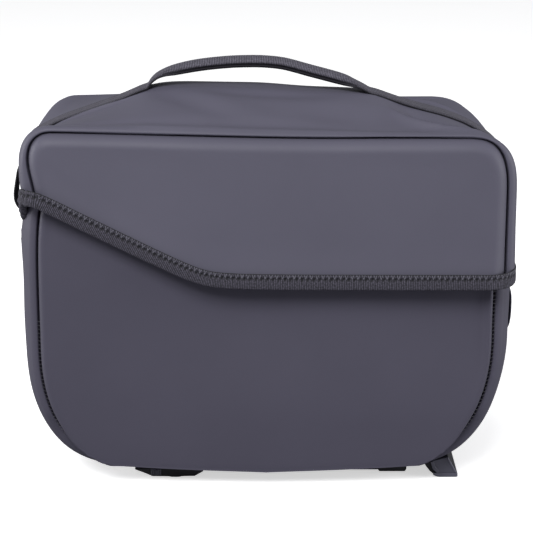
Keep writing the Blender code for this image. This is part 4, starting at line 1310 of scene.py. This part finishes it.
def hem_tape():
    steps = 5
    line, out, up = hem_line(HEM_RIB / steps)
    at = row_places(TAPE_ROWS)
    outs, ups, ribs = (column(TAPE_ROWS, name, at) for name in ("out", "up", "rib"))
    rib = ribbed(len(line), steps)
    crumple = 1 - eased(*CRUMPLE_ACROSS, line[:, 0])
    crumple *= 1 - eased(*CRUMPLE_BACK, line[:, 1])
    travelled = lengths_along(line)
    turns = travelled * 2 * math.pi
    wave = np.sin(turns / CRUMPLE_WAVES[0]) + 0.6 * np.sin(turns / CRUMPLE_WAVES[1] + 1.1)
    rng = np.random.default_rng(5)
    uneven = relaxed(rng.normal(size=(len(line), 1)), 60)[:, 0]
    uneven /= np.abs(uneven).max()
    holes = np.zeros((len(line), len(at)))
    grid = np.empty((len(line), len(at), 3))
    for j in range(len(at)):
        belly = math.sin(math.pi * ups[j] / TAPE_WIDTH)
        inner, outer = CRUMPLE_BULK
        bulk = 1 + (outer * belly if outs[j] > 0 else inner) * crumple
        swell = outs[j] * bulk + HEM_RIB_HEIGHT * ribs[j] * rib * np.sign(outs[j] + 1e-6)
        creased = np.sin(turns / CRUMPLE_CREASES[0] + ups[j] * 2 * math.pi / CRUMPLE_CREASES[1])
        swell = swell + crumple * CRUMPLE_HEIGHT * (wave + creased) * belly
        if outs[j] > 0:
            past = (travelled - STITCH_LEAN * (ups[j] - STITCH_ROW) + STITCH_PITCH / 2) % STITCH_PITCH
            along_hole = (past - STITCH_PITCH / 2) / STITCH_HOLE
            holes[:, j] = np.exp(-(along_hole**2) - ((ups[j] - STITCH_ROW) / STITCH_HOLE_LENGTH) ** 4)
        swell = swell - STITCH_SINK * holes[:, j]
        rise = ups[j] + UNEVEN_EDGE * uneven + CRUMPLE_RISE * crumple * wave
        grid[:, j] = line + out * swell[:, None] + up * rise[:, None]
    obj = grid_object("hem_tape", grid, HEM_MIDDLE, 180)
    # The rib attribute paints the crests light and the grooves and tape edges dark, as painted highlight and
    # painted shade. The stitch holes are painted dark as painted shade.
    painted(obj, "rib", np.outer(rib, np.ones(len(at))) * ribs[None, :])
    painted(obj, "sewn", holes)
    return obj


def woven_rib(name, dark, pale, fleck, roughness=0.82):
    """Woven polyester, with its colour painted lighter on the cords' crests as painted highlight, and darker
    in the grooves and the stitch holes as painted shade.
    """
    found, nodes, links, shader = new_finish(name)
    rib = nodes.new("ShaderNodeAttribute")
    rib.attribute_name = "rib"
    sewn = nodes.new("ShaderNodeAttribute")
    sewn.attribute_name = "sewn"
    grain = placed_group(nodes, GRAIN, Grain_per_metre=4200.0, Pebble_per_metre=2400.0, Drift_per_metre=120.0)
    place = nodes.new("ShaderNodeNewGeometry").outputs["Position"]
    mottle = noise_node(nodes, links, place, 720.0, 3.0, 0.65)
    speckle = ranged(nodes, links, mottle, 0.38, 0.62, 0.72 - fleck, 0.72 + fleck)
    # Painted highlight and painted shade: the colour runs from the dark tone in the grooves to the pale tone
    # on the crests.
    cord = math_node(nodes, links, "POWER", rib.outputs["Fac"], 2.2)
    tone = math_node(nodes, links, "MULTIPLY", cord, speckle)
    # Painted shade: the stitch holes are painted almost down to the dark tone.
    darker = math_node(nodes, links, "MULTIPLY_ADD", sewn.outputs["Fac"], -0.95, 1.0)
    tone = math_node(nodes, links, "MULTIPLY", tone, darker)
    links.new(two_tone(nodes, links, tone, dark, pale), shader.inputs["Base Color"])
    worn = ranged(nodes, links, tone, 0.0, 1.0, roughness + 0.08, roughness - 0.06)
    links.new(worn, shader.inputs["Roughness"])
    bumped(nodes, links, shader, grain.outputs["Height"], 0.00012, 0.8)
    return found


def hem_thread():
    """The zigzag that holds the tape: one stitch up and one down for each pitch."""
    line, out, up = hem_line(HEM_RIB)
    travelled = lengths_along(line)
    front = line[:, 1] < -LID_SEAM * 0.5
    count = int(travelled[-1] / STITCH_PITCH)
    at = (np.arange(count) + 0.5) * STITCH_PITCH
    def placed(place, rise, stand):
        point = [np.interp(place, travelled, line[:, k]) for k in range(3)]
        away = [np.interp(place, travelled, out[:, k]) for k in range(3)]
        above = [np.interp(place, travelled, up[:, k]) for k in range(3)]
        return np.array(point) + np.array(away) * stand + np.array(above) * rise
    starts, ends = [], []
    for place in at:
        if not np.interp(place, travelled, front.astype(float)) > 0.5:
            continue
        for turn in (-0.25, 0.25):
            starts.append(placed(place, STITCH_ROW + THREAD_FROM[0], THREAD_FROM[1]))
            ends.append(placed(place + STITCH_PITCH * turn, TAPE_WIDTH + THREAD_TO[0], THREAD_TO[1]))
    return threads("hem_thread", starts, ends, THREAD, HEM_MIDDLE)


# The dark tone is the painted shade of the grooves and stitch holes, and the pale tone is the painted
# highlight of the crests.
HEM_WEAVE = woven_rib("hem grosgrain", (0.003, 0.003, 0.005), (0.087, 0.080, 0.113), 0.36)
fit(hem_tape(), HEM_WEAVE, "ribbed_tape", "hem_binding")

HEM_THREAD = thread_finish("hem thread", (0.080, 0.078, 0.098), (0.160, 0.158, 0.190))
fit(hem_thread(), HEM_THREAD, "ribbed_tape")


# Ridge tape and handle. One length of 25 mm webbing is sewn along the lid's ridge from side to side. Between
# its two feet it stands free and is folded lengthways into a round grip, whose fold opens underneath.

WEBBING_WIDTH = 0.0250
WEBBING_THICKNESS = 0.0016
WEBBING_RIB = 0.00125
WEBBING_RIB_HEIGHT = 0.00030
GRIP_DEPTH = 0.0195
GRIP_THICKNESS = 0.0086
HANDLE_LEFT = 0.0897
HANDLE_RIGHT = 0.0784
HANDLE_LIFT = 0.0182
TAPE_END = 0.0360
LEFT_LOOP_TOP = 0.2420
LYING_GAP = 0.0004
FOOT_JOIN = 0.0016
STRIP_SQUARENESS = 0.30
GRIP_ROUNDING = 0.48
SELVAGE = 0.0009
SELVAGE_HEIGHT = 0.00030
SELVAGE_PAINTED_SHADOW = 0.0007
GRIP_GROOVE = 0.0020
GRIP_UNDERCUT = 0.0012

# Handle between its feet: place along as a share of its span, lift over the ridge, and how far it is
# folded to a grip
HandleRow = namedtuple("HandleRow", "along lift grip")
HANDLE = [
    HandleRow(0.000, 0.06, 0.00),
    HandleRow(0.018, 0.28, 0.00),
    HandleRow(0.055, 0.47, 0.15),
    HandleRow(0.123, 0.60, 0.80),
    HandleRow(0.235, 0.79, 1.00),
    HandleRow(0.370, 0.94, 1.00),
    HandleRow(0.460, 0.99, 1.00),
    HandleRow(0.536, 1.00, 1.00),
    HandleRow(0.617, 0.95, 1.00),
    HandleRow(0.730, 0.73, 1.00),
    HandleRow(0.820, 0.55, 1.00),
    HandleRow(0.887, 0.41, 0.85),
    HandleRow(0.932, 0.30, 0.35),
    HandleRow(0.964, 0.21, 0.05),
    HandleRow(1.000, 0.06, 0.00),
]


def handle_line(step):
    """Points in the XZ plane along the webbing at an even step, with how far it is folded to a grip."""
    line = lid_outline(0.0, 0.0, 1.0)
    seat = LYING_GAP + WEBBING_THICKNESS / 2
    lying = line + outward(line, (0, HEM_HEIGHT)) * seat
    low_right = float(side_hem(RIGHT, 0.0)) + TAPE_WIDTH + TAPE_END
    left = lying[(lying[:, 0] < -HANDLE_LEFT - FOOT_JOIN) & (lying[:, 1] > LEFT_LOOP_TOP)]
    right = lying[(lying[:, 0] > HANDLE_RIGHT + FOOT_JOIN) & (lying[:, 1] > low_right)]
    share = np.linspace(0, 1, 240)
    x = -HANDLE_LEFT + (HANDLE_LEFT + HANDLE_RIGHT) * share
    order = np.argsort(line[:, 0])
    ridge = np.interp(x, line[order, 0], line[order, 1])
    lift = HANDLE_LIFT * curve_through([(row.along, row.lift) for row in HANDLE], share)
    grip = np.clip(curve_through([(row.along, row.grip) for row in HANDLE], share), 0, 1)
    free = np.stack([x, ridge + np.maximum(lift, seat)], axis=1)
    whole = np.concatenate([left, free, right])
    folded = np.concatenate([np.zeros(len(left)), grip, np.zeros(len(right))])
    run = lengths_along(whole)
    count = int(round(run[-1] / step))
    at = np.linspace(0, run[-1], count + 1)
    even = np.stack([np.interp(at, run, whole[:, k]) for k in (0, 1)], axis=1)
    return relaxed(even, 40), np.interp(at, run, folded)


def webbing_ring(grip, size):
    """Points round the webbing's section: a flat strip with a full selvage, passing to a folded grip.
    Each row is place across, place up and the share of the rib's painted light, which is painted dark as
    painted shade in the grip's groove, on its underside and along the lower edges of the flat strip, and a
    little darker on the selvage."""
    angle = 2 * np.pi * (np.arange(size) + 0.5) / size
    c, s = np.cos(angle), np.sin(angle)
    square = STRIP_SQUARENESS + GRIP_ROUNDING * grip
    half_width = (WEBBING_WIDTH + (GRIP_DEPTH - WEBBING_WIDTH) * grip) / 2
    half_height = (WEBBING_THICKNESS + (GRIP_THICKNESS - WEBBING_THICKNESS) * grip) / 2
    x = np.sign(c) * np.abs(c) ** square * half_width
    z = np.sign(s) * np.abs(s) ** square * half_height
    selvage = np.exp(-(((np.abs(x) - half_width + SELVAGE) / SELVAGE) ** 2)) * (1 - grip)
    z += np.sign(s) * SELVAGE_HEIGHT * selvage
    groove = np.exp(-(((z / half_height + 0.20) / 0.12) ** 2)) * grip * np.abs(c) ** 0.5
    x -= np.sign(c) * GRIP_GROOVE * groove
    under = eased(-0.10, -0.30, z / half_height) * grip
    x -= np.sign(c) * GRIP_UNDERCUT * under
    # Painted shade: the rib's light is taken out in the grip's groove and on its underside, and along the
    # flat strip's lower edges as a painted shadow line. The selvage is a little darker.
    rib = np.clip(1 - selvage * 0.4 - groove - 0.7 * under, 0, 1)
    edge = (np.abs(x) > half_width - SELVAGE_PAINTED_SHADOW) & (z < half_height * 0.35)
    rib[edge] *= grip
    return x, z, rib


def carry_webbing():
    steps, size = 5, 44
    line, grip = handle_line(WEBBING_RIB / steps)
    run = np.gradient(line, axis=0)
    run /= np.linalg.norm(run, axis=1, keepdims=True)
    out = np.stack([-run[:, 1], run[:, 0]], axis=1)
    rib = ribbed(len(line), steps)
    grid = np.empty((len(line), size, 3))
    rib_light_and_shade = np.empty((len(line), size))
    for i in range(len(line)):
        x, z, ribs = webbing_ring(grip[i], size)
        normal_x, normal_z = np.gradient(z), -np.gradient(x)
        norm = np.hypot(normal_x, normal_z) + 1e-9
        lift = WEBBING_RIB_HEIGHT * rib[i] * ribs
        x = x + normal_x / norm * lift
        z = z + normal_z / norm * lift
        grid[i, :, 0] = line[i, 0] + out[i, 0] * z
        grid[i, :, 1] = x
        grid[i, :, 2] = line[i, 1] + out[i, 1] * z
        rib_light_and_shade[i] = rib[i] * ribs
    middle = (0.0, 0.0, 0.2)
    obj = new_object("carry_webbing", grid.reshape(-1, 3), ring_faces(len(line), size), middle, 180)
    painted(obj, "rib", rib_light_and_shade)
    return obj


# The dark tone is the painted shade of the grooves and the grip's underside, and the pale tone is the painted
# highlight of the crests.
STRAP_WEAVE = woven_rib("strap webbing", (0.010, 0.009, 0.014), (0.160, 0.152, 0.196), 0.24)
fit(carry_webbing(), STRAP_WEAVE, "webbing", "handle_webbing")


# Side loops. A black webbing loop hangs from the end of the ridge tape on the left, for a strap's hook, and a
# loop of the bag's own fabric is sewn to the tub's right side, just under the hem.

LOOP_WALL = 0.0016
LOOP_GAP = 0.0004
LOOP_SQUARENESS = (0.25, 0.8)
LEFT_LOOP_LENGTH = 0.0495
LEFT_LOOP_BULGE = 0.0112
LEFT_LOOP_UNDER = 0.0003
LOOP_RIB_HEIGHT = 0.0001
RIGHT_LOOP_TOP = 0.1470
RIGHT_LOOP_LENGTH = 0.0455
RIGHT_LOOP_PLACE = -0.018
RIGHT_LOOP_WIDTH = 0.0200
RIGHT_LOOP_BULGE = 0.0034


# How far each loop stands out, as shares of its length down from its top and of its bulge
LoopRow = namedtuple("LoopRow", "down out")
BLACK_LOOP = [
    LoopRow(0.00, 0.00),
    LoopRow(0.08, 0.04),
    LoopRow(0.20, 0.38),
    LoopRow(0.32, 0.68),
    LoopRow(0.52, 0.91),
    LoopRow(0.74, 1.00),
    LoopRow(0.88, 0.74),
    LoopRow(0.96, 0.22),
    LoopRow(1.00, 0.00),
]
GREY_LOOP = [
    LoopRow(0.00, 0.00),
    LoopRow(0.10, 0.10),
    LoopRow(0.24, 0.78),
    LoopRow(0.36, 1.00),
    LoopRow(0.62, 1.00),
    LoopRow(0.80, 0.72),
    LoopRow(0.92, 0.12),
    LoopRow(1.00, 0.00),
]


def side_loop(name, sign, face, top, length, width, bulge, middle, rib_height, shape):
    """A loop sewn to a side by its two ends, standing out between them."""
    steps, size = 200, 28
    share = np.linspace(0, 1, steps + 1)
    z = top - share * length
    rise = np.clip(curve_through([(row.down, row.out) for row in shape], share), 0, None)
    line = np.stack([face(z) + LOOP_GAP + LOOP_WALL / 2 + bulge * rise, z], axis=1)
    run = np.gradient(line, axis=0)
    run /= np.linalg.norm(run, axis=1, keepdims=True)
    out = np.stack([-run[:, 1], run[:, 0]], axis=1)
    out *= np.where(out[:, :1] < 0, -1.0, 1.0)
    angle = 2 * np.pi * (np.arange(size) + 0.5) / size
    c, s = np.cos(angle), np.sin(angle)
    across = np.sign(c) * np.abs(c) ** LOOP_SQUARENESS[0] * width / 2
    thick = np.sign(s) * np.abs(s) ** LOOP_SQUARENESS[1] * LOOP_WALL / 2
    rib = ribbed(steps + 1, 8)
    grid = np.empty((steps + 1, size, 3))
    for j in range(size):
        high = thick[j] + np.sign(thick[j]) * rib_height * rib
        grid[:, j, 0] = sign * (line[:, 0] + out[:, 0] * high)
        grid[:, j, 1] = middle + across[j]
        grid[:, j, 2] = line[:, 1] + out[:, 1] * high
    inside = (sign * (face(top) - 0.01), middle, top - length / 2)
    obj = new_object(name, grid.reshape(-1, 3), ring_faces(steps + 1, size), inside, 180)
    # In a woven finish the rib attribute paints the crests light and the grooves dark, as painted highlight
    # and painted shade.
    painted(obj, "rib", np.outer(rib, np.ones(size)))
    return obj


# The crests take a painted highlight and the grooves a painted shade, between these two tones.
BLACK_WEAVE = woven_rib("black webbing", (0.002, 0.002, 0.004), (0.014, 0.014, 0.020), 0.2)
black_loop = side_loop(
    "loop_black",
    sign=-1,
    face=lambda z: LID_HALF - lid_tuck(z),
    top=LEFT_LOOP_TOP - LEFT_LOOP_UNDER,
    length=LEFT_LOOP_LENGTH,
    width=WEBBING_WIDTH,
    bulge=LEFT_LOOP_BULGE,
    middle=0.0,
    rib_height=LOOP_RIB_HEIGHT,
    shape=BLACK_LOOP,
)
grey_loop = side_loop(
    "loop_grey",
    sign=1,
    face=tub_side,
    top=RIGHT_LOOP_TOP,
    length=RIGHT_LOOP_LENGTH,
    width=RIGHT_LOOP_WIDTH,
    bulge=RIGHT_LOOP_BULGE,
    middle=RIGHT_LOOP_PLACE,
    rib_height=0.0,
    shape=GREY_LOOP,
)
fit(black_loop, BLACK_WEAVE, "black_webbing", "side_loop_left")
fit(grey_loop, TUB_CLOTH_PAINTED_SHADE, "body_fabric", "side_loop_right")


# Studio. A pale floor that meets a pale sky, one large soft lamp over the front and a low one at each side,
# and a camera at the photo's angle.

PHOTO_WIDTH = 533
FOCAL_PIXELS = 1798
SENSOR = 0.036
CAMERA_PLACE = (0.0, -1.350, 0.510)
CAMERA_PITCH = 15
FLOOR_BOUNCE = (0.28, 0.28, 0.30)
FLOOR_GLOW = 0.58
FLOOR_REACH = 6.0
FLOOR_HEIGHT = -0.0002
LIT_POINT = (0, 0, 0.15)
SIDE_LAMP = (1.2, 0.9)


def studio_floor():
    mesh = bpy.data.meshes.new("studio_floor")
    signs = [(-1, -1), (1, -1), (1, 1), (-1, 1)]
    corners = [(FLOOR_REACH * x, FLOOR_REACH * y, FLOOR_HEIGHT) for x, y in signs]
    mesh.from_pydata(corners, [], [(0, 1, 2, 3)])
    obj = bpy.data.objects.new("studio_floor", mesh)
    bpy.context.scene.collection.objects.link(obj)
    found, nodes, links, shader = new_finish("studio paper")
    place = nodes.new("ShaderNodeNewGeometry").outputs["Position"]
    fibre = noise_node(nodes, links, place, 60.0, 4.0)
    paper = two_tone(nodes, links, fibre, (0.92, 0.92, 0.92), (0.95, 0.95, 0.95))
    bounce = nodes.new("ShaderNodeMix")
    bounce.data_type = "RGBA"
    bounce.inputs["A"].default_value = (*FLOOR_BOUNCE, 1)
    seen = nodes.new("ShaderNodeLightPath").outputs["Is Camera Ray"]
    links.new(seen, bounce.inputs["Factor"])
    links.new(paper, bounce.inputs["B"])
    links.new(bounce.outputs["Result"], shader.inputs["Base Color"])
    shader.inputs["Roughness"].default_value = 0.9
    shader.inputs["Emission Color"].default_value = (1.0, 1.0, 1.0, 1.0)
    glow = math_node(nodes, links, "MULTIPLY", seen, FLOOR_GLOW)
    links.new(glow, shader.inputs["Emission Strength"])
    obj.data.materials.append(found)


def soft_lamp(name, place, size, power):
    lamp = bpy.data.lights.new(name, "AREA")
    lamp.shape = "RECTANGLE"
    lamp.size, lamp.size_y = size
    lamp.energy = power
    obj = bpy.data.objects.new(name, lamp)
    bpy.context.scene.collection.objects.link(obj)
    obj.location = place
    obj.rotation_euler = (Vector(LIT_POINT) - Vector(place)).to_track_quat("-Z", "Y").to_euler()


studio_floor()
world = bpy.data.worlds.new("studio sky")
bpy.context.scene.world = world
world.use_nodes = True
sky = world.node_tree.nodes["Background"]
sky.inputs["Color"].default_value = (0.96, 0.97, 1.0, 1.0)
sky.inputs["Strength"].default_value = 0.30
soft_lamp("front softbox", (-0.75, -1.80, 1.95), (1.8, 1.1), 74)
soft_lamp("right softbox", (2.0, -0.25, 0.50), SIDE_LAMP, 26)
soft_lamp("left softbox", (-2.0, 0.40, 0.45), SIDE_LAMP, 21)

camera = bpy.data.cameras.new("photo camera")
camera.sensor_width = SENSOR * 1000
camera.lens = FOCAL_PIXELS / PHOTO_WIDTH * SENSOR * 1000
camera.clip_start = 0.05
viewer = bpy.data.objects.new("photo camera", camera)
bpy.context.scene.collection.objects.link(viewer)
viewer.location = CAMERA_PLACE
viewer.rotation_euler = (math.radians(90 - CAMERA_PITCH), 0, 0)
bpy.context.scene.camera = viewer
bpy.context.scene.view_settings.view_transform = "Standard"
